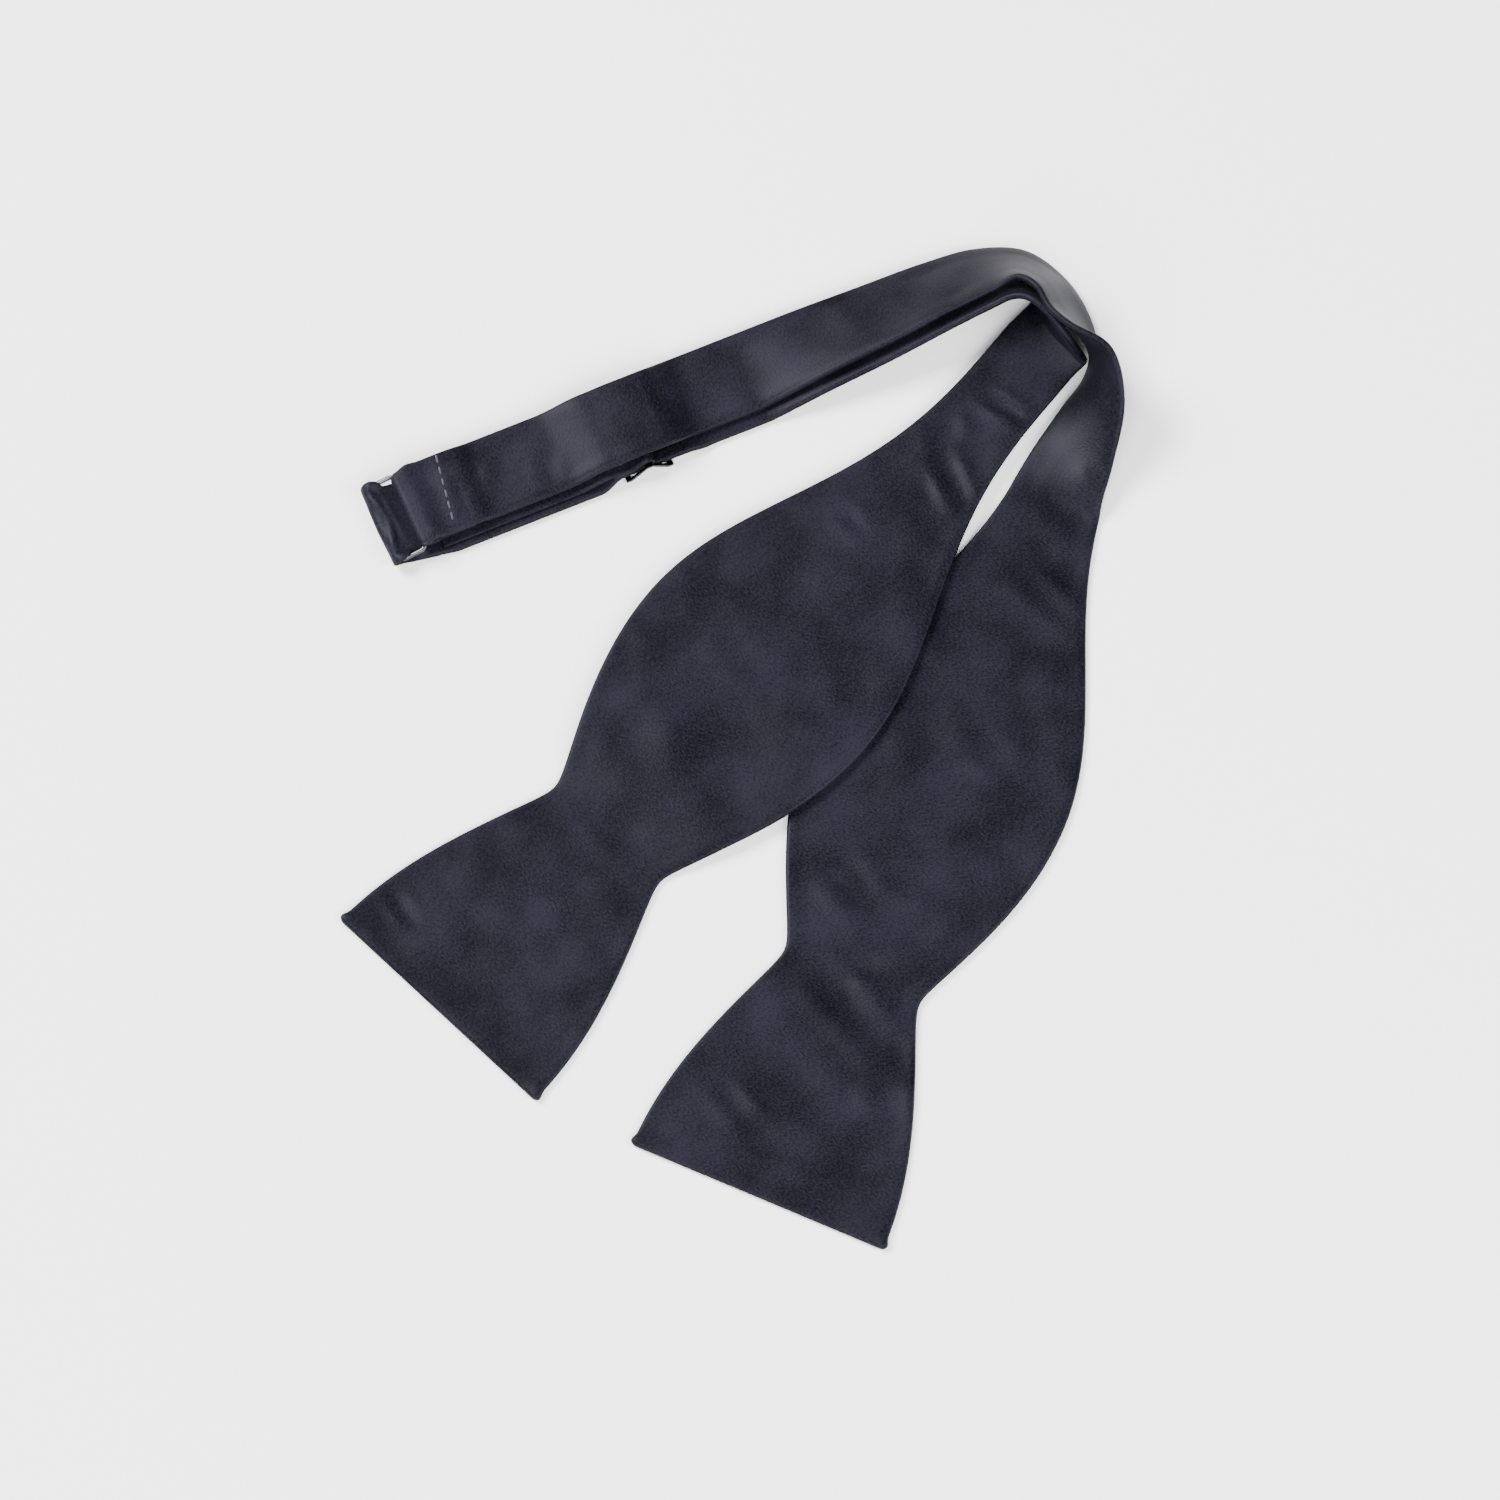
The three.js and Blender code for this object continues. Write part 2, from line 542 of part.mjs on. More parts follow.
function adjusterSlider() {
  const low = SLIDER_BAR / 2;
  const width = BAND_WIDTH;
  const bars = [[-SLIDER_PITCH, low], [0, CENTRE_BAR_Z], [SLIDER_PITCH, low]].map(([x, z]) =>
    new THREE.BoxGeometry(SLIDER_BAR_LENGTH, width, SLIDER_BAR).translate(x, 0, z));
  const end = SLIDER_PITCH + SLIDER_BAR_LENGTH / 2;
  const top = CENTRE_BAR_Z + SLIDER_BAR / 2;
  const half = SLIDER_BAR_LENGTH / 2;
  const side = new THREE.Shape([
    [-end, 0], [-end + SLIDER_BAR_LENGTH, 0], [-half, top - SLIDER_BAR], [half, top - SLIDER_BAR],
    [end - SLIDER_BAR_LENGTH, 0], [end, 0], [half, top], [-half, top],
  ].map(([x, z]) => new THREE.Vector2(x, z)));
  const rails = [1, -1].map((way) => {
    const rail = new THREE.ExtrudeGeometry(side, { depth: SLIDER_RAIL, bevelEnabled: false });
    rail.rotateX(Math.PI / 2);
    return rail.translate(0, way * (width - SLIDER_RAIL) / 2 + SLIDER_RAIL / 2, 0);
  });
  const geometry = joined([...bars, ...rails]);
  return named('adjuster_slider', geometry, blackSteel());
}

// ---------------------------------------------------------------- the whole tie

const ringPath = ringHalfPath();
const ringHalf = {
  name: 'ring_half',
  path: ringPath,
  widthAt: halfWidth,
  turnEnd: LOWER_BLADE.neckFromTip - 10,
};
const strapPath = strapHalfPath();
const strapHalf = {
  name: 'strap_half',
  path: strapPath,
  widthAt: (fromTip) => strapHalfWidth(fromTip, strapPath.length),
  turnEnd: UPPER_BLADE.neckFromTip,
};

const onBand = (mesh, fromFold, side, z) => {
  mesh.position.set(fromFold, side, z);
  return mesh;
};
const ringStitchesZ = TAIL_Z + OVER_LOOP + (RIBBON + THREAD) / 2 + STITCH_GAP;
const hemStitchesZ = HEM_Z + 1.5 * STRAP + LAYER_GAP + THREAD / 2 + STITCH_GAP;
const ringEnd = new THREE.Group().add(
  onBand(ringHalfLoop(), 0, RING_SIDE, 0),
  onBand(strapLoop(), 0, RING_SIDE, 0),
  onBand(adjusterRing(), 0, RING_SIDE, 0),
  onBand(strapReturn(), 0, SLIDER_SIDE, 0),
  onBand(adjusterSlider(), SLIDER_FROM_FOLD, SLIDER_SIDE, 0),
  onBand(stitchRow('ring_loop_stitches', 6, STITCH_SLANT),
    RING_STITCHES, RING_STITCH_SIDE, ringStitchesZ),
  onBand(stitchRow('strap_hem_stitches', 5, 0),
    SLIDER_FROM_FOLD - HEM_STITCHES, SLIDER_SIDE, hemStitchesZ),
);
ringEnd.position.set(BAND_START[0], BAND_START[1], 0);
ringEnd.rotation.z = THREE.MathUtils.degToRad(BAND_HEADING);

const folded = new THREE.Group();
folded.add(...ribbonHalf(ringHalf), ...ribbonHalf(strapHalf), ringEnd);

// The origin is on the table, under the middle of the folded tie.
const bowTie = new THREE.Group();
bowTie.add(folded);
bowTie.updateMatrixWorld(true);
const bounds = new THREE.Box3().setFromObject(folded, true);
folded.position.copy(bounds.getCenter(new THREE.Vector3()).negate()).setZ(-bounds.min.z);

export default bowTie;
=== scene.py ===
"""Self-tie bow tie, laid down folded: silk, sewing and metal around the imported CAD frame.

Lengths are in millimetres and angles in degrees until a mesh is made. A ribbon is drawn on a
grid: s is the distance from its square end, and v the distance from its middle line, which is
positive towards the far side of the neckband.
"""
import math

import bpy
import numpy as np
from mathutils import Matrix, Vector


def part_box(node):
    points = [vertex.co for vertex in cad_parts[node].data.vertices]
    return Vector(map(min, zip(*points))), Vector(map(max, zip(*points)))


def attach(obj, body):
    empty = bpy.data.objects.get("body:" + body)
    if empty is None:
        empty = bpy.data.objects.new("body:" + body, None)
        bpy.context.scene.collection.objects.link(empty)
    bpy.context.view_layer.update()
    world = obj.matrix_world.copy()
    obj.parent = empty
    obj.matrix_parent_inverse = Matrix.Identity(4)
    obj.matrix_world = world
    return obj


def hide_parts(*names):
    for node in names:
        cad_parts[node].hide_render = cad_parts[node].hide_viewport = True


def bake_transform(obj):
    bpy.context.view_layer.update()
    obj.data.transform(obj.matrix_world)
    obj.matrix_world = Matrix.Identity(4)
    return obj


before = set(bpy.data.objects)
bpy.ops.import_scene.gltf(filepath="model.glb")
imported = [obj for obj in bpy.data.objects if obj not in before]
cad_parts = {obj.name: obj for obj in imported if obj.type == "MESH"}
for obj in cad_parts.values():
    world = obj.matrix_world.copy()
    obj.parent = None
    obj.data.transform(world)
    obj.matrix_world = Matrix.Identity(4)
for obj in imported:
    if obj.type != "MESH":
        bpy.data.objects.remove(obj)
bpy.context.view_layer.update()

MM = 0.001

# ------------------------------ sizes shared with the CAD

BAND_WIDTH = 21.0
TIP_WIDTH = 67.0
WAIST_WIDTH = 36.0
BULGE_WIDTH = 67.4
WAIST_FROM_TIP = 62.0
BULGE_FROM_TIP = 118.0
NECK_FROM_TIP = 222.0
WAIST_ROUNDING = 1.2

SILK = 0.35
INTERLINING = 0.5
PLY_GAP = 0.25
STRAP = 0.6
SEAM_INSET = 1.2
LAYER_GAP = 0.3

RING_WIRE = 1.2
RING_PITCH = 7.6
RING_CORNER = 2.4
RING_SIDE_GAP = 0.5
LOOP_PINCH = 1.2
LOOP_SLACK = 0.45
LOOP_REACH = 7.5

SLIDER_BAR = 0.8
SLIDER_BAR_LENGTH = 1.4
SLIDER_RAIL = 0.6
SLIDER_PITCH = 5.5
SLIDER_FROM_FOLD = 60.0
SLIDER_TRAVEL = 4.0

THREAD = 0.45
STITCH_PITCH = 3.1
STITCH_LENGTH = 2.1
STITCH_SLANT = 9.0
RING_LOOP_LENGTH = 15.0
RING_STITCHES = 11.3
STRAP_HEM = 9.0
HEM_STITCHES = 6.5

BAND_HEADING = 23.0
BAND_START = (-81.7, 61.2)
TURN_FROM_FOLD = 92.0

RING_SIDE = -2.6
SLIDER_SIDE = -4.3
RING_HALF_SIDE = -1.6
RING_HALF_TURN_SIDE = -0.2
STRAP_HALF_SIDE = -5.1
STRAP_HALF_TURN_SIDE = -3.3
RING_STITCH_SIDE = -0.5

LOWER_BLADE = dict(neck=(78.1, 62.7), neck_from_tip=196.0, heading=-111.7, bend=-0.1, skew=-2.4)
UPPER_BLADE = dict(neck=(75.0, 102.7), neck_from_tip=227.5, heading=-128.4, bend=-4.0, skew=-2.4)
UPPER_DROP_FROM_TIP = 84.0

# Far edge in plan, azimuth and elevation of the span, span over width, and how far on top.
# Three stations of the ring half lean further than in the CAD, to hide the table in the fold.
RING_HALF_TURN = [
    (14, 112.9, -67, 12, 1, 1),
    (30.2, 119.3, -67, 21, 1, 1),
    (45.6, 125.4, -68, 30, 1, 0.9),
    (58.7, 129.5, -74, 38, 1, 0.6),
    (71.2, 129.2, -98, 50, 1, 0.25),
    (80.4, 122.4, -128, 57, 1, 0),
    (86, 113.6, -147, 58, 1, 0),
    (88.2, 104.6, -160, 71, 1, 0),
    (85.9, 95.7, 2, 74, 1, 0),
    (79.9, 87.6, -12, 42, 1, 0),
    (73.2, 77.5, -19, 16, 1, 0),
    (69.4, 69.6, -20.8, 5, 1, 0),
]
STRAP_HALF_TURN = [
    (15.3, 110.1, -67, 11, 1, 0),
    (31.1, 116.3, -67, 20, 1, 0),
    (46.4, 122.3, -68, 29, 1, 0),
    (58.5, 125.8, -75, 37, 1, 0),
    (67, 125.8, -86, 46, 1, 0),
    (71.8, 123, -90, 53, 1, 0),
    (73.4, 119.6, -77, 52, 1.02, 0),
    (73.2, 117.1, -62, 36, 1.08, 0.3),
    (72.1, 115.2, -52, 16, 1.08, 0.6),
    (70.6, 113.3, -44, 4, 1.02, 1),
]

RIBBON = 2 * SILK + INTERLINING + 2 * PLY_GAP
HALF_BAND = BAND_WIDTH / 2
GROUND = RIBBON / 2
SECOND = GROUND + RIBBON + LAYER_GAP
RETURN_Z = RIBBON + LAYER_GAP + STRAP / 2
TAIL_Z = RETURN_Z + STRAP + LAYER_GAP
LOOP_WIDTH = BAND_WIDTH - 2 * LOOP_PINCH
RING_LOOP_RADIUS = RING_WIRE / 2 + LAYER_GAP + STRAP / 2
RING_BAR_X = RING_LOOP_RADIUS + STRAP / 2
RING_BAR_Z = TAIL_Z + RING_LOOP_RADIUS
STRAP_LOOP_RADIUS = RING_WIRE / 2 + LOOP_SLACK + STRAP / 2
OVER_LOOP = LAYER_GAP + (STRAP + RIBBON) / 2
RAISED = SLIDER_BAR + LAYER_GAP + GROUND
HEM_Z = RAISED + OVER_LOOP
CENTRE_BAR_Z = HEM_Z + STRAP / 2 + LAYER_GAP + SLIDER_BAR / 2
HEM_RADIUS = SLIDER_BAR / 2 + LAYER_GAP + STRAP / 2
STRAP_PINCH = SLIDER_RAIL + LAYER_GAP
SLIDER_END = SLIDER_FROM_FOLD + SLIDER_PITCH + SLIDER_BAR_LENGTH / 2 + SLIDER_TRAVEL
HEM_START = SLIDER_FROM_FOLD - STRAP_HEM
RAMP = 6.0
LOOP_RISE = 0.75

STRAP_BAR_X = STRAP_LOOP_RADIUS + STRAP / 2 - LOOP_REACH
STRAP_BAR_Z = RING_BAR_Z - math.sqrt(RING_PITCH ** 2 - (RING_BAR_X - STRAP_BAR_X) ** 2)

# ------------------------------ sizes of the visual model

SAMPLES = 3000                  # along a path, to measure it
STRAP_SAMPLES = 1200
ROUNDING_ERROR = 1e-6
TINY = 1e-9
BAND_STEP = 3.0                 # between the stations of the neckband
BAR_STEPS = 8                   # of an arc round a bar of the ring
PAST_TOP = 80.0                 # degrees at which the cloth leaves the top of a bar
BAR_UNDERSIDE = 270.0
HUMP_SPREAD = 2.0               # the neckband is level this far past the slider's travel
SLIDER_MARGIN = 1.0             # and the cloth under the slider this far past its end

# Distances from an edge at which the grid has a line, and the steps between its rows.
EDGE_COLUMNS = np.array([0, 0.12, 0.3, 0.55, 0.85, 1.25, 1.8, 2.6, 3.6])
MIDDLE_COLUMNS = 25
STRAP_MIDDLE_COLUMNS = 9
STRAP_EDGE = 4.0                # the middle columns of a strap lie inside this
TAIL_STEP = 1.0
RETURN_STEP = 0.5
FIRST_ROW = 4.6                 # the rows before it are the edge columns again
BLADE_STEP = 1.5
BLADE_TURN_STEP = 1.2
CREASE_STEP = 1.0
LOOP_STEP = 0.4
TURN_FROM_TIP = 190.0           # finer rows from here on
CREASE_ROWS_FROM_TIP = 200.0
RING_HALF_BAND = 92.0           # from the ring end, where rows are coarse again
RING_HALF_LOOP = 11.0           # from the ring end, where rows are finest
STRAP_HALF_BAND = 105.0
STRAP_HALF_LOOP = 22.0
BAND_SHARE = 0.5                # shares of a path that hold the neckband, and its roll
ROLL_SHARE = 0.3
LAID = 0.2                      # cloth this little above the ground counts as laid down
PAST_LOOP = 6.0                 # a path is past its own loop this far from its end
LINING_SHORT = 12.0             # the interlining stops short of each loop
STRAP_LINING_SHORT = 20.0

SEAM_EDGE = 0.02                # half the gap between the two panels at an edge
EDGE_ROUNDING = 0.85            # of a turned edge
LEAST_SILK = 0.12               # least thickness of a panel, except at its edges
LEAST_PANEL = 0.6               # share of a panel's height that a crease leaves
LOOP_EASING = (4.5, 10.0)       # past a loop the ribbon grows to its full thickness
LOOP_WIDENING = (4.2, 6.2)      # and to its full width

ROLL_WIDTH = 22.8               # of the strap half where it is gathered over the ring
ROLL_SIDE = -2.8
ROLL_PEAK = (-2.0, 2.4)         # widest place, from the roll's outermost line, and its length
ROLL_EASING = (5.0, 11.0)       # on the table side of that line, to the full thickness
FLARE = 1.1                     # rise of the roll's edges over the sides of the ring
FLARE_GROWS = (0.5, 3.5)        # on the upper side of that line
FLARE_ENDS = (4.8, 6.5)
FLARE_ACROSS = (8.4, 10.0)      # from the middle line

UPPER_SPLIT = 140.0             # the two pieces of the upper blade meet here
CREASE_FROM_TIP = 229.0         # fold of the strap half under the turn
BLADE_END = 205.0               # the panel that is up on a blade goes under about here
UPPER_BLADE_END = 225.0
FOLD_REACH = 9.0                # the cloth bends this far before and after a waist
SLIDER_EASING = 0.5             # points this far before and after a waist are passed on with a stretch; nothing bends the cloth there
LIFT_BEND = (227.0, 215.0)      # places on the upper blade passed on with its middle stretch; nothing here lifts or bends it

CORNER = 1.3                    # rounding of a corner of the square end
# Bells: height, place and width. Places are distances from an edge, or from the square end.
NUB = (0.7, 1.2, 1.3)           # the cloth bunched in a corner stands out
NUB_TOP = (0.3, 1.6, 2.0)       # and up
SEAM_RIDGE = (0.05, 2.2, 1.2)   # the seam allowance lifts the silk a little
SEAM_DIP = (-0.03, 5.0, 1.6)    # and then stops
GROOVE = (-0.16, 0.95, 0.3)     # seam inside the near edge of the neckband
GROOVE_GROWS = (300.0, 310.0)   # from the square end
GROOVE_ACROSS = (0.0, 2.0)      # from the middle line to the near side
SHOULDER = (0.9, 1.8, 0.8)      # raised beside a crease, for a crease 1 deep and 1 wide

WAVE_SEED = 11
WAVE_COUNT = 30
WAVE_LENGTHS = (9, 26)
WAVE_STEEPNESS = 0.022 / 14
RING_HALF_SHIFT = 0.0           # phases that make the waves of each panel differ
LOWER_SHIFT = 1.0
UPPER_SHIFT = 2.0
RELIEF_FADE = (12.0, 2.0)       # the relief fades in from outside to inside its stretch
RELIEF_INSIDE = (0.4, 5.0)      # waves grow from an edge inwards

STITCHES = 6                    # of the ring half's loop
HEM_STITCH_COUNT = 5
STITCH_SAMPLES = 11
STITCH_SIDES = 10
STITCH_SPREAD = 1.08            # length of a stitch with its sunk ends, over what is seen
STITCH_DIP = 1.9                # depth of the sunk ends, in radii of the thread
STITCH_TAPER = 0.72
RING_CORNER_STEPS = 9
RING_SIDES = 14

FLOOR_SIZE = 40.0
CAMERA_AIM = (3.9, -0.6)
CAMERA_ELEVATION = 68.0
CAMERA_DISTANCE = 9.0           # metres: the sizes were fitted as seen from very far away
CAMERA_LENS = 885.0
SENSOR_WIDTH = 36
WORLD_STRENGTH = 0.4
# Name, place and size in metres, and power in watts. Each one aims at the origin.
LIGHTS = [
    ("key", (-1.1, 0.7, 1.3), 1.0, 105),
    ("fill", (1.2, -0.5, 1.1), 1.2, 50),
    ("front", (-0.2, -1.3, 1.2), 1.2, 60),
]


# ------------------------------ lines and directions

def smoothstep(value, start, end):
    share = np.clip((value - start) / (end - start), 0, 1)
    return share * share * (3 - 2 * share)


def lerp(a, b, share):
    return a + (b - a) * share


def bell(value, height, at, width):
    return height * np.exp(-((value - at) / width) ** 2)


def unit(vectors):
    return vectors / np.maximum(np.linalg.norm(vectors, axis=-1, keepdims=True), TINY)


def running_length(points):
    steps = np.linalg.norm(np.diff(points, axis=0), axis=1)
    return np.concatenate([[0], np.cumsum(steps)])


def direction(azimuth, elevation=0.0):
    around, rise = math.radians(azimuth), math.radians(elevation)
    flat = math.cos(rise)
    return np.array([math.cos(around) * flat, math.sin(around) * flat, math.sin(rise)])


def catmull_rom(points, t):
    """Centripetal Catmull-Rom curve through the points, at parameters from 0 to 1."""
    points = np.asarray(points, float)
    ends = [2 * points[:1] - points[1:2], points, 2 * points[-1:] - points[-2:-1]]
    padded = np.concatenate(ends)
    place = np.asarray(t) * (len(points) - 1)
    first = np.clip(np.floor(place).astype(int), 0, len(points) - 2)
    weight = (place - first)[:, None]
    p0, p1, p2, p3 = (padded[first + i] for i in range(4))
    d0, d1, d2 = (np.sqrt(np.linalg.norm(b - a, axis=1))[:, None]
                  for a, b in ((p0, p1), (p1, p2), (p2, p3)))
    m1 = ((p1 - p0) / d0 - (p2 - p0) / (d0 + d1) + (p2 - p1) / d1) * d1
    m2 = ((p2 - p1) / d1 - (p3 - p1) / (d1 + d2) + (p3 - p2) / d2) * d1
    square = -3 * p1 + 3 * p2 - 2 * m1 - m2
    cube = 2 * p1 - 2 * p2 + m1 + m2
    return p1 + m1 * weight + square * weight ** 2 + cube * weight ** 3


def arc(x, z, radius, start, end, steps):
    """Points of an arc in side view, between two angles."""
    angles = np.radians(np.linspace(start, end, steps + 1))
    return [(x + radius * math.cos(a), z + radius * math.sin(a)) for a in angles]


# ------------------------------ outline of a ribbon

def swell(value, start, end):
    return np.sin(math.pi / 2 * (value - start) / (end - start))


def rounded(value):
    return np.hypot(value, WAIST_ROUNDING) - WAIST_ROUNDING


def half_width(s):
    """Half the width of a ribbon at distances from its square end."""
    s = np.asarray(s, float)
    waist = WAIST_WIDTH / 2
    neck = swell(s, NECK_FROM_TIP, BULGE_FROM_TIP) ** 3
    upper = lerp(HALF_BAND, BULGE_WIDTH / 2, neck)
    wide = np.where(s >= WAIST_FROM_TIP, BULGE_WIDTH, TIP_WIDTH) / 2
    share = np.where(s >= WAIST_FROM_TIP, swell(s, WAIST_FROM_TIP, BULGE_FROM_TIP),
                     swell(s, WAIST_FROM_TIP, 0))
    reach = wide - waist
    lower = waist + reach * rounded(reach * share) / rounded(reach)
    width = np.where(s >= BULGE_FROM_TIP, upper, lower)
    return np.where(s >= NECK_FROM_TIP, HALF_BAND, width)


def corner_width(s):
    """Change of the half width at the corners of the square end."""
    inside = np.clip(CORNER - s, 0, CORNER)
    cut = CORNER - np.sqrt(CORNER ** 2 - inside ** 2)
    return bell(s, *NUB) - cut


# ------------------------------ path of a ribbon

class RibbonPath:
    """A ribbon of the neckband's width between its far and its near edge."""

    def __init__(self, stations):
        self.far = np.array([far for far, _ in stations])
        self.near = np.array([near for _, near in stations])
        self.lengths = running_length(self.line(np.linspace(1, 0, SAMPLES + 1)))
        self.length = self.lengths[-1]

    def parameter_at(self, s):
        return 1 - np.interp(s, self.lengths, np.linspace(0, 1, SAMPLES + 1))

    def line(self, t):
        """Points of the middle line."""
        return lerp(catmull_rom(self.far, t), catmull_rom(self.near, t), 0.5)

    def surface(self, t, share):
        """A row of points for each parameter, at shares of the way across, above the table."""
        far, near = catmull_rom(self.far, t), catmull_rom(self.near, t)
        points = lerp(far[:, None], near[:, None], share[..., None])
        points[..., 2] = np.maximum(points[..., 2], GROUND)
        return points

    def grid(self, s, v):
        """Points and outward directions at rows s and, on each row, distances v."""
        t = self.parameter_at(s)
        share = 0.5 - v / BAND_WIDTH
        small = 0.5 / SAMPLES
        ahead = self.surface(np.minimum(t + small, 1), share)
        behind = self.surface(np.maximum(t - small, 0), share)
        across = (catmull_rom(self.near, t) - catmull_rom(self.far, t))[:, None]
        outward = unit(np.cross(np.broadcast_to(across, ahead.shape), ahead - behind))
        return self.surface(t, share), outward


def flat_station(middle, across_azimuth):
    across = direction(across_azimuth) * HALF_BAND
    return middle - across, middle + across


def on_band(x, y, z):
    """A point in the neckband's own frame: x from the fold, y to the far side."""
    flat = direction(BAND_HEADING) * x + direction(BAND_HEADING + 90) * y
    return np.array([BAND_START[0], BAND_START[1], z]) + flat


def band_station(x, side, z):
    return flat_station(on_band(x, side, z), BAND_HEADING - 90)


def eased_values(run, at):
    """The values at a place on a run of (place, *values), eased from each entry to the next."""
    following = next((i for i, entry in enumerate(run) if entry[0] >= at), len(run) - 1)
    following = max(following, 1)
    (start, *before), (end, *after) = run[following - 1], run[following]
    share = float(smoothstep(at, start, end))
    return [lerp(a, b, share) for a, b in zip(before, after)]


def band_stations(run):
    """Stations of the neckband along a run of (place, height, side)."""
    start, end = run[0][0], run[-1][0]
    count = round((end - start) / BAND_STEP)
    stations = []
    for i in range(count + 1):
        x = lerp(start, end, i / count)
        z, side = eased_values(run, x)
        stations.append(band_station(x, side, z))
    return stations


def turn_station(x, y, azimuth, elevation, span, on_top):
    far = np.array([x, y, lerp(GROUND, SECOND, on_top)])
    return far, far + direction(azimuth, elevation) * span * BAND_WIDTH


def blade_middle(blade, s, z=0.0):
    along = blade["neck_from_tip"] - s
    turned = blade["bend"] * along / blade["neck_from_tip"]
    return np.array([*blade["neck"], z]) + direction(blade["heading"] + turned / 2) * along


def blade_station(blade, s, z):
    along = blade["neck_from_tip"] - s
    turned = blade["bend"] * along / blade["neck_from_tip"]
    skewed = blade["skew"] * (1 - float(smoothstep(s, WAIST_FROM_TIP, NECK_FROM_TIP)))
    return flat_station(blade_middle(blade, s, z), blade["heading"] + turned + skewed + 90)


def ring_half_path():
    """From the loop round the near bar, over the ring end and the slider, to the lower blade."""
    over_tail = TAIL_Z + OVER_LOOP
    over_return = RETURN_Z + OVER_LOOP
    over_hem = HEM_Z + STRAP + LAYER_GAP + 1.5 * THREAD + OVER_LOOP
    over_slider = CENTRE_BAR_Z + HEM_RADIUS + OVER_LOOP
    loop = [(RING_BAR_X + 2.5, TAIL_Z), (RING_BAR_X + 1.2, TAIL_Z)]
    loop += arc(RING_BAR_X, RING_BAR_Z, RING_LOOP_RADIUS, BAR_UNDERSIDE, PAST_TOP, BAR_STEPS)
    loop = [band_station(x, RING_SIDE, z) for x, z in loop]
    band = band_stations([
        (RING_BAR_X + 3, over_tail + LOOP_RISE, RING_HALF_SIDE),
        (RING_BAR_X + 6, over_tail, RING_HALF_SIDE),
        (RING_LOOP_LENGTH, over_tail, RING_HALF_SIDE),
        (RING_LOOP_LENGTH + RAMP, over_return, RING_HALF_SIDE),
        (HEM_START - 2 * RAMP, over_return, RING_HALF_SIDE),
        (HEM_START, over_hem, RING_HALF_SIDE),
        (SLIDER_FROM_FOLD - HUMP_SPREAD, over_slider, RING_HALF_SIDE),
        (SLIDER_FROM_FOLD + SLIDER_TRAVEL + HUMP_SPREAD, over_slider, RING_HALF_SIDE),
        (SLIDER_END + RAMP, SECOND, RING_HALF_TURN_SIDE),
        (TURN_FROM_FOLD, SECOND, RING_HALF_TURN_SIDE),
    ])
    turn = [turn_station(*row) for row in RING_HALF_TURN]
    places = [LOWER_BLADE["neck_from_tip"], 180, 150, 100, WAIST_FROM_TIP, 30, 0]
    blade = [blade_station(LOWER_BLADE, s, GROUND) for s in places]
    return RibbonPath(loop + band + turn + blade)


def strap_half_path():
    """From the loop round the far bar, along the table and under the slider, to the upper blade."""
    raised_from = SLIDER_FROM_FOLD - SLIDER_PITCH - SLIDER_BAR_LENGTH
    loop = [
        (RING_BAR_X + 4, RETURN_Z, RING_SIDE),
        (RING_BAR_X + 2, RETURN_Z, RING_SIDE),
        (RING_BAR_X - 0.2, RETURN_Z + 0.05, RING_SIDE),
        (STRAP_BAR_X + 3.1, STRAP_BAR_Z + STRAP_LOOP_RADIUS - 0.75, RING_SIDE),
    ]
    roll = arc(STRAP_BAR_X, STRAP_BAR_Z, STRAP_LOOP_RADIUS, PAST_TOP, BAR_UNDERSIDE, BAR_STEPS)
    loop += [(x, z, ROLL_SIDE) for x, z in roll]
    loop.append((STRAP_BAR_X + 3, (GROUND + STRAP_BAR_Z - STRAP_LOOP_RADIUS) / 2, -3.3))
    loop = [band_station(x, side, z) for x, z, side in loop]
    band = band_stations([
        (RING_BAR_X + 1.5, GROUND, lerp(ROLL_SIDE, STRAP_HALF_SIDE, 0.6)),
        (RING_BAR_X + 8, GROUND, STRAP_HALF_SIDE),
        (raised_from - RAMP, GROUND, STRAP_HALF_SIDE),
        (raised_from, RAISED, SLIDER_SIDE),
        (SLIDER_END + SLIDER_MARGIN, RAISED, SLIDER_SIDE),
        (SLIDER_END + SLIDER_MARGIN + RAMP, GROUND, STRAP_HALF_TURN_SIDE),
        (TURN_FROM_FOLD, GROUND, STRAP_HALF_TURN_SIDE),
    ])
    turn = [turn_station(*row) for row in STRAP_HALF_TURN]
    neck = UPPER_BLADE["neck_from_tip"]
    blade = [blade_station(UPPER_BLADE, s, SECOND) for s in (neck, neck - 10, 150, 100)]
    drop = [(0, GROUND), (WAIST_FROM_TIP, GROUND), (UPPER_DROP_FROM_TIP, SECOND)]
    for s in np.linspace(UPPER_DROP_FROM_TIP, WAIST_FROM_TIP, 7)[:-1]:
        blade.append(blade_station(UPPER_BLADE, s, eased_values(drop, s)[0]))
    blade += [blade_station(UPPER_BLADE, s, GROUND) for s in (WAIST_FROM_TIP, 50, 25, 0)]
    return RibbonPath(loop + band + turn + blade)


ring_path = ring_half_path()
strap_path = strap_half_path()

# The middle of the CAD slider is known in both frames, and gives the shift between them.
slider_low, slider_high = (np.array(corner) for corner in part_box("adjuster_slider"))
SHIFT = (slider_low + slider_high) / 2 / MM - on_band(SLIDER_FROM_FOLD, SLIDER_SIDE, 0)
SHIFT[2] = 0


def place(points):
    """From millimetres on the plan to metres in the frame."""
    return (np.asarray(points, float) + SHIFT) * MM


# ------------------------------ relief of the cloth

rng = np.random.default_rng(WAVE_SEED)
WAVES = [
    (length, angle, phase, WAVE_STEEPNESS * length)
    for length, angle, phase in zip(rng.uniform(*WAVE_LENGTHS, WAVE_COUNT),
                                    rng.uniform(0, math.pi, WAVE_COUNT),
                                    rng.uniform(0, 2 * math.pi, WAVE_COUNT))
]


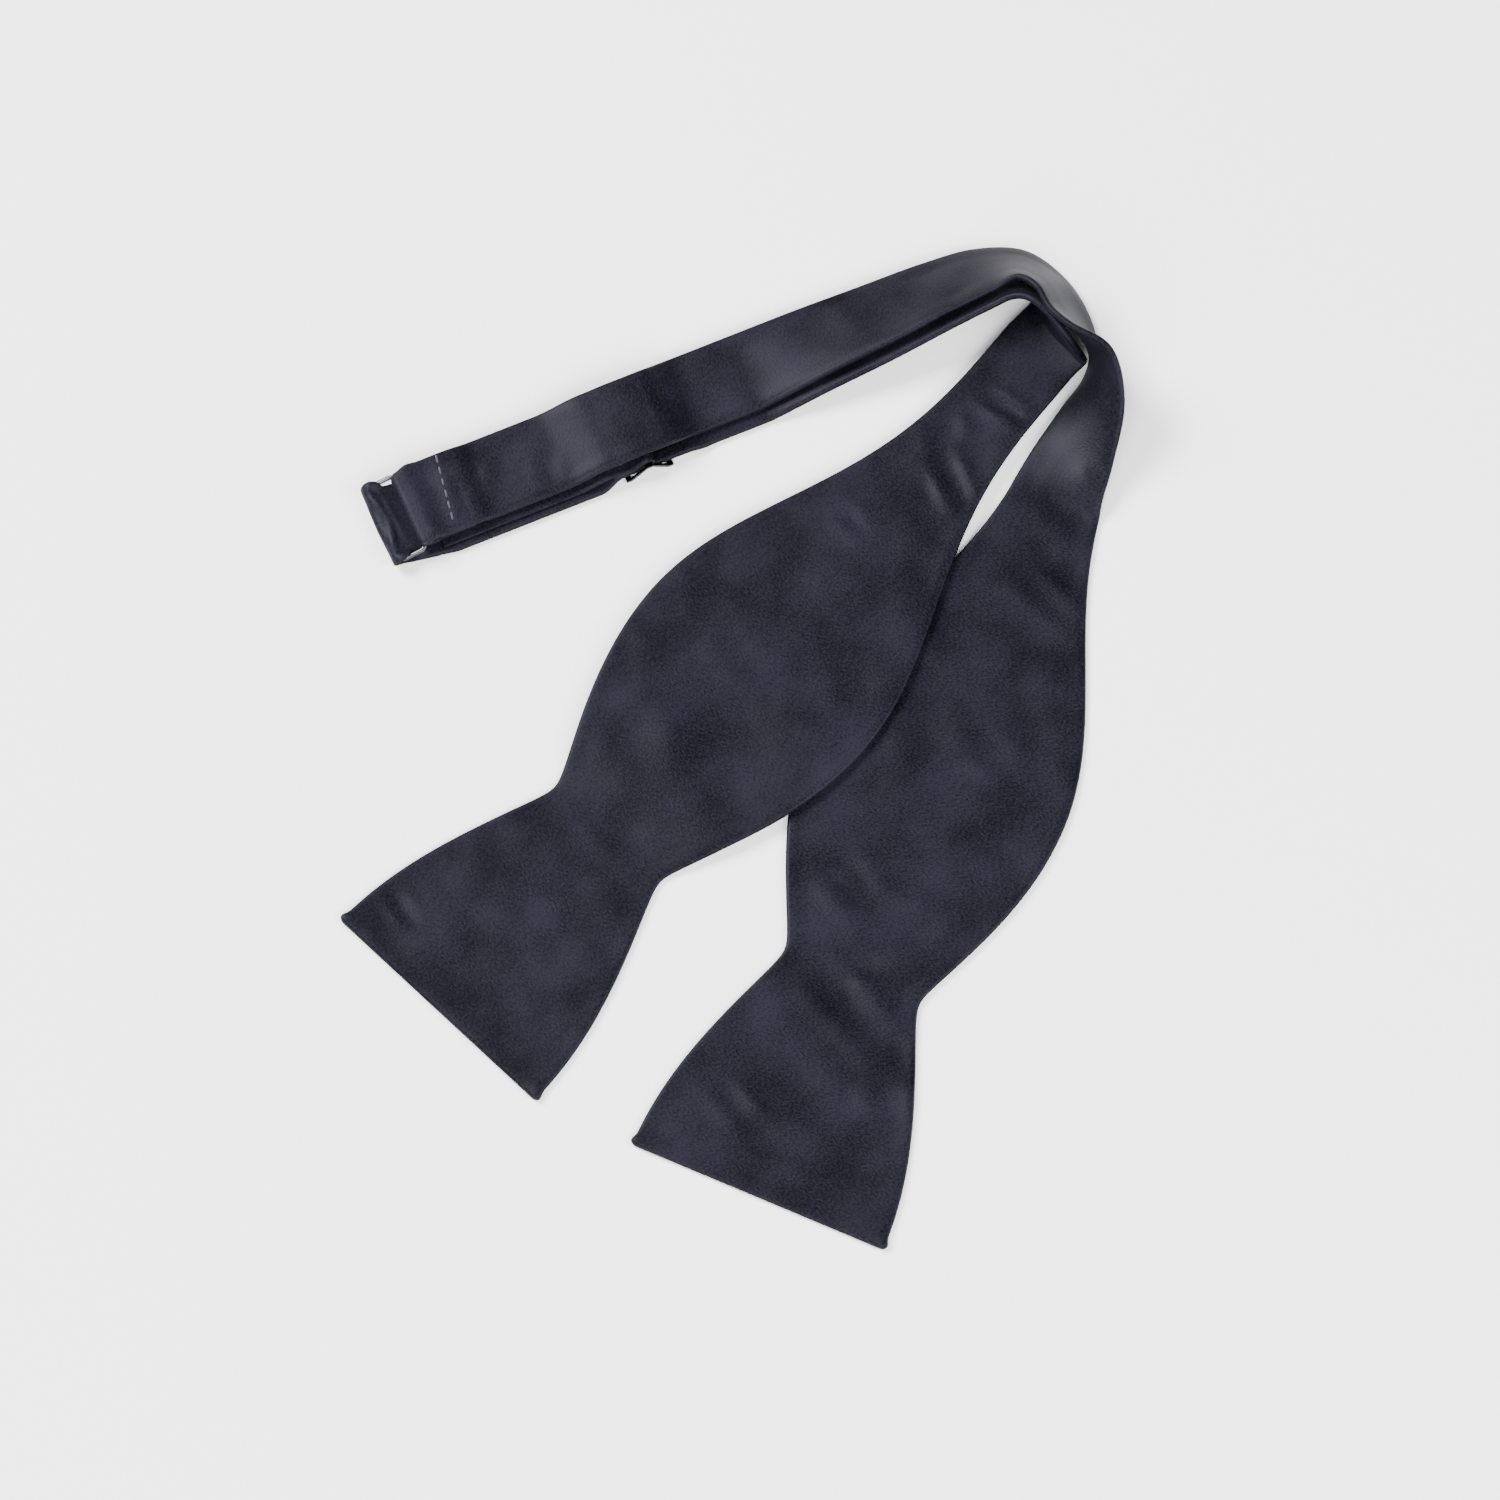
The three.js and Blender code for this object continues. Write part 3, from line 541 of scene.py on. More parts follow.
def undulation(s, v, shift):
    """Gentle waves of silk over its interlining."""
    height = np.zeros_like(v)
    for length, angle, phase, depth in WAVES:
        along = s * math.cos(angle) + v * math.sin(angle)
        height += depth * np.sin(2 * math.pi * along / length + phase + shift)
    return height


# Folds and dents: s, v, direction in degrees from the ribbon's length, length, width, height.
LOWER_BLADE_FOLDS = [
    (195, -5, 63, 7, 4, -0.35),
    (208, -8, 37, 4, 2.5, -0.3),
    (172, -7, 72, 6, 2.2, -0.35),
    (129, -11, 77, 5, 3, -0.4),
    (128, 6, 65, 4, 5, -0.3),
    (84, 9, 65, 7, 3.5, -0.5),
    (79, -10, 106, 5, 4, -0.35),
    (66, -1, 121, 3, 3, -0.35),
    (53, -5, 63, 11, 3.5, -0.5),
    (35, -21, 32, 4, 3, -0.35),
    (33, -5, 124, 5, 3, 0.35),
    (19, 13, 62, 7, 2.2, -0.4),
    (15, 1, 89, 11, 3, -0.35),
]
UPPER_BLADE_FOLDS = [
    (210, -3, 95, 5, 1.6, -0.6),
    (206, -2, 95, 5, 1.8, 0.45),
    (195, 4, 64, 3, 3, -0.45),
    (187, -5, 67, 6, 2.2, -0.6),
    (182, -6, 67, 6, 2.5, 0.4),
    (163, 7, 91, 4, 1.8, -0.4),
    (130, -22, 90, 5, 4, -0.3),
    (117, -10, 150, 15, 6, -0.35),
    (110, 29, 122, 4, 4, -0.3),
    (100, -7, 68, 12, 8, -0.45),
    (84, 13, 62, 8, 5, -0.35),
    (59, 3, 83, 9, 3, 0.35),
    (42, 19, 140, 13, 5, -0.3),
    (13, 24, 85, 4, 1.6, -0.4),
]
# On the neckband the first number is the distance from its fold.
BAND_FOLDS = [
    (14.5, 0, 84, 9, 1.4, -0.3),
    (19, 2, 70, 4, 2.2, -0.3),
    (37, -4, 80, 4, 2, -0.25),
    (70.5, 0, 88, 9, 1.6, -0.35),
    (74, 1, 84, 8, 2, 0.25),
]
# On the roll it is the distance past the roll's outermost line.
ROLL_FOLDS = [
    (2.6, 5, 101, 5, 0.9, 0.75),
    (2.4, -5, 77, 5, 0.9, 0.8),
    (0.4, 0, 90, 7, 1.0, 0.4),
    (5.2, 1, 95, 6, 0.9, 0.55),
]


def folds(s, v, rows):
    """Ridges, and creases with a raised shoulder on either side."""
    height = np.zeros_like(v)
    for at_s, at_v, turn, length, width, rise in rows:
        forward, sideways = math.cos(math.radians(turn)), math.sin(math.radians(turn))
        along = (s - at_s) * forward + (v - at_v) * sideways
        across = (v - at_v) * forward - (s - at_s) * sideways
        crest = bell(across, 1, 0, width)
        if rise < 0:
            crest -= bell(np.abs(across) / width, *SHOULDER)
        height += rise * crest * bell(along, 1, 0, length)
    return height


def edge_profile(distance):
    """From 0 at an edge to 1: a rounded turned edge."""
    inside = np.clip(1 - distance / EDGE_ROUNDING, 0, 1)
    return np.sqrt(1 - inside ** 2)


def seam_ridge(distance):
    """The seam allowance inside an edge lifts the silk a little, and then stops."""
    return bell(distance, *SEAM_RIDGE) + bell(distance, *SEAM_DIP)


# ------------------------------ meshes

def vertex_normals(points, flip):
    normals = unit(np.cross(np.gradient(points, axis=0), np.gradient(points, axis=1)))
    return -normals if flip else normals


def shell(name, top, bottom, uv, pinched, material, flip=False):
    """A closed shell between two grids that share their side columns.

    uv is the place of each grid point on the cloth. Where pinched says so, the grids share
    their first or last row too, and elsewhere a cap closes the row.
    """
    rows, columns = top.shape[:2]
    count = rows * columns
    upper = np.arange(count).reshape(rows, columns)
    lower = upper + count
    lower[:, [0, -1]] = upper[:, [0, -1]]
    for row, is_pinched in zip((0, -1), pinched):
        if is_pinched:
            lower[row] = upper[row]
    faces = []
    for ids, turned in ((upper, flip), (lower, not flip)):
        quads = np.stack([ids[:-1, :-1], ids[1:, :-1], ids[1:, 1:], ids[:-1, 1:]], axis=2)
        quads = quads.reshape(-1, 4)
        faces += (quads[:, ::-1] if turned else quads).tolist()
    for row, is_pinched in zip((0, -1), pinched):
        if is_pinched:
            continue
        for j in range(columns - 1):
            ring = [upper[row, j], upper[row, j + 1], lower[row, j + 1], lower[row, j]]
            ring = list(dict.fromkeys(int(i) for i in ring))
            faces.append(ring if (row == 0) != flip else ring[::-1])
    points = np.concatenate([top.reshape(-1, 3), bottom.reshape(-1, 3)])
    normals = np.concatenate([
        vertex_normals(top, flip).reshape(-1, 3),
        vertex_normals(bottom, not flip).reshape(-1, 3),
    ])
    uv = np.concatenate([uv.reshape(-1, 2)] * 2)
    used = np.unique(np.concatenate([upper.ravel(), lower.ravel()]))
    new_index = np.zeros(2 * count, int)
    new_index[used] = np.arange(len(used))
    faces = [[int(new_index[i]) for i in face] for face in faces]
    return mesh_object(name, points[used], faces, material, uv[used], normals[used])


def in_scene(name, data):
    """A new object in the scene that shows a mesh, a light or a camera."""
    thing = bpy.data.objects.new(name, data)
    bpy.context.scene.collection.objects.link(thing)
    return thing


def mesh_object(name, points, faces, material, uv=None, normals=None):
    mesh = bpy.data.meshes.new(name)
    mesh.from_pydata(place(points).tolist(), [], faces)
    mesh.shade_smooth()
    if uv is not None:
        layer = mesh.uv_layers.new(name="cloth")
        corner = np.empty(len(mesh.loops), int)
        mesh.loops.foreach_get("vertex_index", corner)
        layer.data.foreach_set("uv", (uv[corner] * MM).astype(np.float32).ravel())
    if normals is not None:
        mesh.normals_split_custom_set_from_vertices(normals.tolist())
    mesh.materials.append(material)
    return in_scene(name, mesh)


# ------------------------------ materials

class Graph:
    """A short way to write a material's nodes."""

    def __init__(self, name):
        self.material = bpy.data.materials.new(name)
        self.material.use_nodes = True
        self.nodes = self.material.node_tree.nodes
        self.links = self.material.node_tree.links
        self.shader = self.nodes["Principled BSDF"]

    def node(self, kind, inputs=None, **settings):
        node = self.nodes.new(kind)
        for key, value in settings.items():
            setattr(node, key, value)
        for key, value in (inputs or {}).items():
            self.set(node.inputs[key], value)
        return node

    def set(self, socket, value):
        if isinstance(value, bpy.types.NodeSocket):
            self.links.new(value, socket)
        else:
            socket.default_value = value

    def shade(self, **values):
        for key, value in values.items():
            self.set(self.shader.inputs[key.replace("_", " ")], value)

    def noise(self, vector, scale, detail=2.0, roughness=0.5):
        node = self.node("ShaderNodeTexNoise", dict(
            Vector=vector, Scale=scale, Detail=detail, Roughness=roughness))
        return node.outputs["Fac"]

    def remap(self, value, low, high, to_low, to_high):
        node = self.node("ShaderNodeMapRange", {
            "Value": value, "From Min": low, "From Max": high, "To Min": to_low, "To Max": to_high})
        return node.outputs["Result"]

    def math(self, operation, a, b):
        return self.node("ShaderNodeMath", {0: a, 1: b}, operation=operation).outputs[0]

    def mix(self, share, a, b):
        node = self.node("ShaderNodeMix", data_type="RGBA")
        sockets = [socket for socket in node.inputs if socket.type == "RGBA"]
        self.set(node.inputs[0], share)
        self.set(sockets[0], a)
        self.set(sockets[1], b)
        return next(socket for socket in node.outputs if socket.type == "RGBA")

    def cloth_place(self, scale, turn=0.0):
        uv = self.node("ShaderNodeUVMap", uv_map="cloth").outputs["UV"]
        return self.node("ShaderNodeMapping", {
            "Vector": uv, "Rotation": (0, 0, math.radians(turn)), "Scale": (*scale, 1)}).outputs[0]

    def object_place(self):
        return self.node("ShaderNodeTexCoord").outputs["Object"]

    def bump(self, height, distance, strength=1.0, normal=None):
        inputs = {"Height": height, "Distance": distance, "Strength": strength}
        if normal is not None:
            inputs["Normal"] = normal
        return self.node("ShaderNodeBump", inputs).outputs["Normal"]


def silk_material(name, dark, light):
    graph = Graph(name)
    patches = graph.noise(graph.object_place(), 55, 3, 0.55)
    grain = graph.noise(graph.cloth_place((2300, 1300), 45), 1, 2, 0.6)
    slub = graph.noise(graph.cloth_place((900, 160), 45), 1, 1)
    tone = graph.math("ADD", graph.math("MULTIPLY", patches, 0.4),
                      graph.math("MULTIPLY", grain, 0.6))
    colour = graph.mix(graph.remap(tone, 0.40, 0.60, 0, 1), dark, light)
    roughness = graph.remap(graph.math("ADD", grain, patches), 0.7, 1.3, 0.42, 0.56)
    weave = graph.bump(grain, 0.09 * MM, 0.8)
    normal = graph.bump(slub, 0.06 * MM, 0.35, weave)
    graph.shade(Base_Color=colour, Roughness=roughness, Normal=normal, Sheen_Weight=0.006,
                Sheen_Roughness=0.45, Sheen_Tint=(0.55, 0.6, 0.9, 1), IOR=1.2, Specular_IOR_Level=0.5,
                Specular_Tint=(0.84, 0.84, 1.0, 1))
    return graph.material


def canvas_material():
    graph = Graph("interlining_canvas")
    weft = graph.node("ShaderNodeTexWave", dict(
        Vector=graph.cloth_place((700, 700)), Scale=1.0), bands_direction="X")
    warp = graph.node("ShaderNodeTexWave", dict(
        Vector=graph.cloth_place((700, 700)), Scale=1.0), bands_direction="Y")
    weave = graph.math("MULTIPLY", weft.outputs["Fac"], warp.outputs["Fac"])
    colour = graph.mix(weave, (0.46, 0.42, 0.34, 1), (0.66, 0.62, 0.53, 1))
    fluff = graph.remap(graph.noise(graph.object_place(), 900), 0.3, 0.7, 0.82, 0.98)
    graph.shade(Base_Color=colour, Roughness=fluff, Normal=graph.bump(weave, 0.1 * MM, 0.6))
    return graph.material


def thread_material():
    graph = Graph("stitch_thread")
    twist = graph.noise(graph.object_place(), 4200, 1)
    colour = graph.mix(graph.remap(twist, 0.35, 0.65, 0, 1), (0.002, 0.003, 0.012, 1),
                       (0.009, 0.013, 0.04, 1))
    graph.shade(Base_Color=colour, Roughness=graph.remap(twist, 0.3, 0.7, 0.5, 0.7),
                Normal=graph.bump(twist, 0.05 * MM, 0.6), Sheen_Weight=0.3)
    return graph.material


def metal_material(name, dark, light, rough_low, rough_high):
    graph = Graph(name)
    wear = graph.noise(graph.object_place(), 380, 4, 0.6)
    colour = graph.mix(graph.remap(wear, 0.35, 0.7, 0, 1), dark, light)
    graph.shade(Base_Color=colour, Roughness=graph.remap(wear, 0.3, 0.7, rough_low, rough_high),
                Normal=graph.bump(wear, 0.02 * MM, 0.3), Metallic=1.0)
    return graph.material


silk = silk_material("navy_silk", (0.0004, 0.0004, 0.0014, 1), (0.0075, 0.0070, 0.0120, 1))
canvas = canvas_material()
thread = thread_material()
chrome = metal_material("ring_chrome", (0.03, 0.03, 0.035, 1), (0.09, 0.09, 0.10, 1), 0.25, 0.4)
black_metal = metal_material("slider_enamel", (0.002, 0.002, 0.003, 1), (0.009, 0.009, 0.012, 1),
                             0.3, 0.5)


# ------------------------------ the two ribbons

def rows_between(*runs):
    """Distances from the square end: each run is (from, to, step)."""
    parts = [np.linspace(a, b, max(2, round((b - a) / step) + 1))[:-1] for a, b, step in runs]
    return np.concatenate([*parts, [runs[-1][1]]])


def columns(width):
    """Distances from the middle line on rows of the half widths given, near side first."""
    edge = width[:, None] - EDGE_COLUMNS
    inner = np.linspace(-1, 1, MIDDLE_COLUMNS + 1)[1:-1] * edge[:, -1:]
    return np.concatenate([-edge, inner, edge[:, ::-1]], axis=1)


class Ribbon:
    """One half of the tie on a grid, with the middle surface, outward directions and outline."""

    def __init__(self, path, s, width, thickness, lift=None):
        self.path, self.s = path, s
        self.width = width
        self.v = columns(width)
        self.rows = np.broadcast_to(s[:, None], self.v.shape)
        self.middle, self.outward = path.grid(s, self.v)
        if lift is not None:
            self.middle[..., 2] += lift(self.rows, self.v)
        self.edge = width[:, None] - np.abs(self.v)
        self.half = thickness[:, None]
        self.uv = np.stack([self.rows, self.v], axis=2)

    def at(self, height):
        return self.middle + self.outward * height[..., None]

    def between(self, start, end):
        """Which rows lie between two distances from the square end."""
        return (self.s >= start - ROUNDING_ERROR) & (self.s <= end + ROUNDING_ERROR)

    def base(self):
        """Height of a panel over the middle surface, without its folds."""
        _, nub_inside, nub_radius = NUB_TOP
        profile = edge_profile(self.edge) * edge_profile(self.rows)
        full = self.half / GROUND
        from_nub = np.hypot(self.edge - nub_inside, self.rows - nub_inside)
        ridge = (seam_ridge(self.edge) + seam_ridge(self.rows)) * full ** 3
        return self.half * profile + profile * (ridge + bell(from_nub, NUB_TOP[0], 0, nub_radius))


def silk_panel(ribbon, name, side, relief, start, end):
    """The panel on one side of a ribbon, between two distances from the square end."""
    rows = ribbon.between(start, end)
    base = ribbon.base()
    profile = edge_profile(ribbon.edge)
    outer = np.maximum(base + relief * profile, base * LEAST_PANEL)
    outer = np.maximum(outer, SEAM_EDGE)
    inner = np.maximum(base - SILK, SEAM_EDGE) + np.maximum(relief, 0) * profile
    inner = np.clip(outer - LEAST_SILK, SEAM_EDGE, inner)
    inner[:, [0, -1]] = outer[:, [0, -1]]
    at_square_end = start <= 0
    if at_square_end:
        inner[0] = outer[0]
    top, bottom = ribbon.at(side * outer)[rows], ribbon.at(side * inner)[rows]
    return shell(name, top, bottom, ribbon.uv[rows], (at_square_end, False), silk, flip=side > 0)


def interlining(ribbon, name, start, end):
    """The canvas between the panels, narrower by the seam on each side."""
    s = ribbon.s[ribbon.between(start, end)]
    width = np.interp(s, ribbon.s, ribbon.width) - SEAM_INSET
    thin = Ribbon(ribbon.path, s, width, np.full(len(s), INTERLINING / 2))
    height = np.broadcast_to(thin.half, thin.v.shape).copy()
    height[:, [0, -1]] = 0
    top, bottom = thin.at(height), thin.at(-height)
    return shell(name, top, bottom, thin.uv, (False, False), canvas, flip=True)


def ring_half_ribbon():
    path = ring_path
    band_start = path.length - RING_HALF_BAND
    loop_start = path.length - RING_HALF_LOOP
    s = np.concatenate([EDGE_COLUMNS, rows_between(
        (FIRST_ROW, TURN_FROM_TIP, BLADE_STEP), (TURN_FROM_TIP, band_start, BLADE_TURN_STEP),
        (band_start, loop_start, BLADE_STEP), (loop_start, path.length, LOOP_STEP))])
    s[-1] = path.length
    from_loop = path.length - s
    width = half_width(s) + corner_width(s)
    width -= LOOP_PINCH * (1 - smoothstep(from_loop, *LOOP_WIDENING))
    thickness = lerp(STRAP / 2, GROUND, smoothstep(from_loop, *LOOP_EASING))
    return Ribbon(path, s, width, thickness)


def slider_room(s):
    """How far rows of the strap half lie past the room that the slider needs, on either side."""
    fold = strap_path.length - fold_from_end()
    middle = SLIDER_FROM_FOLD + SLIDER_TRAVEL / 2
    reach = SLIDER_PITCH + SLIDER_BAR_LENGTH / 2 + SLIDER_TRAVEL / 2
    return np.abs(fold - s - middle) - reach


def strap_half_ribbon():
    path = strap_path
    band_start = path.length - STRAP_HALF_BAND
    loop_start = path.length - STRAP_HALF_LOOP
    s = np.concatenate([EDGE_COLUMNS, rows_between(
        (FIRST_ROW, UPPER_SPLIT, BLADE_STEP), (UPPER_SPLIT, CREASE_ROWS_FROM_TIP, BLADE_STEP),
        (CREASE_ROWS_FROM_TIP, CREASE_FROM_TIP, CREASE_STEP),
        (CREASE_FROM_TIP, band_start, CREASE_STEP),
        (band_start, loop_start, BLADE_STEP), (loop_start, path.length, LOOP_STEP))])
    s[-1] = path.length
    roll = arc_from_end()
    from_roll = path.length - s - roll
    peak_at, peak_length = ROLL_PEAK
    widening_start, widening_end = LOOP_WIDENING
    width = half_width(s) + corner_width(s)
    width -= STRAP_PINCH * (1 - smoothstep(slider_room(s), SLIDER_EASING, RAMP))
    width -= (HALF_BAND - LOOP_WIDTH / 2) * (1 - smoothstep(from_roll, -widening_end, -widening_start))
    width += bell(from_roll, ROLL_WIDTH / 2 - HALF_BAND, peak_at, peak_length)
    thickness = lerp(STRAP / 2, GROUND, smoothstep(from_roll, *ROLL_EASING))

    def over_rails(rows, v):
        past = rows - (path.length - roll)
        flare = smoothstep(past, *FLARE_GROWS) * (1 - smoothstep(past, *FLARE_ENDS))
        return FLARE * flare * smoothstep(np.abs(v), *FLARE_ACROSS)

    return Ribbon(path, s, width, thickness, over_rails)


def measured_start(path, share):
    """Points of the first share of a path from its ring end, from the start of the neckband:
    how far along the band, how high, and how far along the path."""
    points = path.line(np.linspace(0, share, SAMPLES)) - on_band(0, 0, 0)
    return points @ direction(BAND_HEADING), points[:, 2], running_length(points)


def distance_from_end(path, x, below):
    """Distance along a path from its ring end to a place x on the band, at or under a height."""
    along, height, lengths = measured_start(path, BAND_SHARE)
    found = np.flatnonzero((along >= x) & (height <= below) & (lengths > PAST_LOOP))
    return lengths[found[0]]


def fold_from_end():
    """From the end of the strap half's path to the place on it with x = 0."""
    return distance_from_end(strap_path, RING_BAR_X, GROUND + LAID) - RING_BAR_X


def arc_from_end():
    """From the end of the strap half's path to the outermost point of its roll."""
    along, _, lengths = measured_start(strap_path, ROLL_SHARE)
    return float(lengths[np.argmin(along)])


ring_ribbon = ring_half_ribbon()
strap_ribbon = strap_half_ribbon()


def relief(ribbon, start, end, rows, shift):
    """Waves and folds of a panel where it is seen, which is between two distances."""
    s, v = ribbon.rows, ribbon.v
    outside, inside = RELIEF_FADE
    seen = 1 - smoothstep(s, end - inside, end + outside)
    if start > 0:
        seen = smoothstep(s, start - outside, start + inside) * seen
    waves = smoothstep(ribbon.edge, *RELIEF_INSIDE) * undulation(s, v, shift)
    return seen * waves + seen * folds(s, v, rows)


def turned_over(rows, start):
    """Folds of the neckband, in distances from the square end."""
    return [(start - x, v, 180 - turn, *rest) for x, v, turn, *rest in rows]


def moved_on(rows, start):
    """Folds of the roll, in distances from the square end."""
    return [(start + x, v, turn, *rest) for x, v, turn, *rest in rows]


def near_groove():
    """The seam inside the near edge of the neckband."""
    near_side = smoothstep(-ring_ribbon.v, *GROOVE_ACROSS)
    grown = smoothstep(ring_ribbon.s, *GROOVE_GROWS)[:, None]
    return near_side * grown * bell(ring_ribbon.edge, *GROOVE)


def blade_point(blade, s, z):
    return tuple(place(blade_middle(blade, s, z)))


def waist_bend(blade):
    """Points on a blade before and after its waist; nothing here bends the cloth."""
    return (blade_point(blade, WAIST_FROM_TIP + FOLD_REACH, GROUND),
            blade_point(blade, WAIST_FROM_TIP - FOLD_REACH, GROUND))


def make_plies(half, name, ribbon, stands_for, span, lining_short, reliefs, follows):
    """The outer panel, the interlining and the inner panel of one stretch of a ribbon.

    follows is one body, which the pieces are attached to; given two bodies and the two points of a
    blend, the pieces stay unattached and no blend is made.
    """
    lining_span = (max(span[0], SEAM_INSET), span[1] - lining_short)
    outer_relief, inner_relief = reliefs
    plies = {
        "outer": silk_panel(ribbon, f"{name}_silk_outer", 1, outer_relief, *span),
        "interlining": interlining(ribbon, f"{name}_canvas", *lining_span),
        "inner": silk_panel(ribbon, f"{name}_silk_inner", -1, inner_relief, *span),
    }
    for ply, piece in plies.items():
        nodes = [f"{half}_{part}_{ply}" for part in stands_for]
        if piece.name == "strap_half_band_silk_inner":
            nodes.append("strap_loop")
        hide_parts(*nodes)
        if len(follows) == 1:
            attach(piece, *follows)
        else:
            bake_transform(piece)


def ring_half_pieces():
    """Each ply of the ring half is one piece from the square end to the loop."""
    length = ring_path.length
    fold = length - distance_from_end(ring_path, RING_BAR_X + 4, math.inf) + RING_BAR_X + 4
    outer_relief = near_groove() + relief(
        ring_ribbon, BLADE_END, length - LINING_SHORT, turned_over(BAND_FOLDS, fold),
        RING_HALF_SHIFT)
    inner_relief = relief(ring_ribbon, 0, BLADE_END, LOWER_BLADE_FOLDS, LOWER_SHIFT)
    make_plies("ring_half", "ring_half", ring_ribbon, ("tip", "blade", "turn", "band"),
               (0.0, length), LINING_SHORT, (outer_relief, inner_relief),
               ("neckband", "lower_tip", *waist_bend(LOWER_BLADE)))


def strap_half_pieces():
    """The strap half is in three stretches, each listed with the bodies it goes with; only the band
    stretch is attached to one.
    """
    length = strap_path.length
    inner_relief = relief(strap_ribbon, 0, UPPER_BLADE_END, UPPER_BLADE_FOLDS, UPPER_SHIFT)
    inner_relief += folds(strap_ribbon.rows, strap_ribbon.v,
                          moved_on(ROLL_FOLDS, length - arc_from_end()))
    reliefs = (np.zeros_like(strap_ribbon.v), inner_relief)
    lift_bend = [blade_point(UPPER_BLADE, s, SECOND) for s in LIFT_BEND]
    on_ring_half = ["floor", "ring_half_silk_inner"]
    stretches = [
        ("band", ("turn", "band"), (CREASE_FROM_TIP, length), STRAP_LINING_SHORT, ["floor"],
         ("neckband",)),
        ("blade", ("blade",), (UPPER_SPLIT, CREASE_FROM_TIP), 0.0, on_ring_half,
         ("neckband", "upper_blade", *lift_bend)),
        ("tip", ("tip",), (0.0, UPPER_SPLIT), 0.0, on_ring_half,
         ("upper_blade", "upper_tip", *waist_bend(UPPER_BLADE))),
    ]
    for stretch, stands_for, span, lining_short, rests_on, follows in stretches:
        make_plies("strap_half", f"strap_half_{stretch}", strap_ribbon, stands_for, span,
                   lining_short, reliefs, follows)


ring_half_pieces()
strap_half_pieces()


# ------------------------------ straps at the ring end

def strap_shell(name, line, side, width, step):
    """A strap of constant thickness along a side-view line across the band."""
    line = np.array([(x, 0, z) for x, z in line], float)
    dense = catmull_rom(line, np.linspace(0, 1, STRAP_SAMPLES))
    lengths = running_length(dense)
    s = np.linspace(0, lengths[-1], round(lengths[-1] / step) + 1)
    middle = np.stack([np.interp(s, lengths, dense[:, k]) for k in range(3)], axis=1)
    along = unit(np.gradient(middle, axis=0))
    up = np.stack([-along[:, 2], np.zeros(len(s)), along[:, 0]], axis=1)
    middle_columns = np.linspace(-1, 1, STRAP_MIDDLE_COLUMNS)[1:-1] * (width / 2 - STRAP_EDGE)
    v = np.concatenate([-width / 2 + EDGE_COLUMNS, middle_columns, (width / 2 - EDGE_COLUMNS)[::-1]])
    edge = width / 2 - np.abs(v)
    height = STRAP / 2 * np.sqrt(1 - np.clip(1 - edge / (STRAP / 2), 0, 1) ** 2)
    height = np.broadcast_to(height, (len(s), len(v)))
    grid = middle[:, None] + np.array([0, 1, 0]) * (v + side)[None, :, None]
    turn = np.stack([direction(BAND_HEADING), direction(BAND_HEADING + 90), [0, 0, 1]])

    def in_plan(points):
        return points @ turn + np.array([*BAND_START, 0])

    top = in_plan(grid + up[:, None] * height[..., None])
    bottom = in_plan(grid - up[:, None] * height[..., None])
    uv = np.stack(np.broadcast_arrays(s[:, None], v[None]), axis=2)
    piece = shell(name, top, bottom, uv, (False, False), silk)
    return piece, float(lengths[-1])


def ring_half_tail():
    """The folded-back end of the ring half, sewn down under the neckband."""
    line = [(RING_BAR_X + 2.8, TAIL_Z), (8, TAIL_Z), (RING_LOOP_LENGTH, TAIL_Z)]
    tail, length = strap_shell("ring_half_tail", line, RING_SIDE, LOOP_WIDTH, TAIL_STEP)
    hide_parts("ring_half_loop")
    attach(tail, "neckband")


def strap_return():
    """The strap from the ring back to the slider, with its hem round the centre bar."""
    over_hem = HEM_Z + STRAP + LAYER_GAP
    bar_end = SLIDER_FROM_FOLD + SLIDER_BAR_LENGTH / 2
    line = [
        (RING_BAR_X + 4.3, RETURN_Z),
        (RING_BAR_X + 8.3, RETURN_Z),
        (HEM_START - 3 * RAMP, RETURN_Z),
        (HEM_START - 1.5 * RAMP, RETURN_Z),
        (HEM_START - 1, over_hem),
        (SLIDER_FROM_FOLD - 4, over_hem),
        *arc(SLIDER_FROM_FOLD, CENTRE_BAR_Z, HEM_RADIUS, 100, 90, 1),
        *arc(bar_end - 0.2, CENTRE_BAR_Z, HEM_RADIUS, 60, -60, 4),
        (SLIDER_FROM_FOLD - 0.5, HEM_Z),
        (SLIDER_FROM_FOLD - 4, HEM_Z),
        (HEM_START, HEM_Z),
    ]
    width = BAND_WIDTH - 2 * STRAP_PINCH
    strap, length = strap_shell("strap_return_silk", line, SLIDER_SIDE, width, RETURN_STEP)
    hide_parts("strap_return")
    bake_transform(strap)


ring_half_tail()
strap_return()


# ------------------------------ sewing

def wall(count, sides, is_closed):
    """Faces between rings of vertices, one ring after the other."""
    faces = []
    for i in range(count if is_closed else count - 1):
        after = (i + 1) % count
        for j in range(sides):
            k = (j + 1) % sides
            faces.append([i * sides + j, after * sides + j, after * sides + k, i * sides + k])
    return faces


def tube(points, radii, sides):
    """Vertices and faces of a closed tube round a line of points, with a fan at each end."""
    points = np.asarray(points)
    along = unit(np.gradient(points, axis=0))
    across = unit(np.cross(along, [0, 0, 1.0]))
    up = np.cross(across, along)
    angles = np.linspace(0, 2 * math.pi, sides, endpoint=False)
    rings = [p + r * (math.cos(a) * n + math.sin(a) * u)
             for p, r, n, u in zip(points, radii, across, up) for a in angles]
    faces = wall(len(points), sides, False)
    first, last = len(rings), len(rings) + 1
    rings += [points[0], points[-1]]
    base = (len(points) - 1) * sides
    for j in range(sides):
        k = (j + 1) % sides
        faces += [[first, j, k], [last, base + k, base + j]]
    return rings, faces


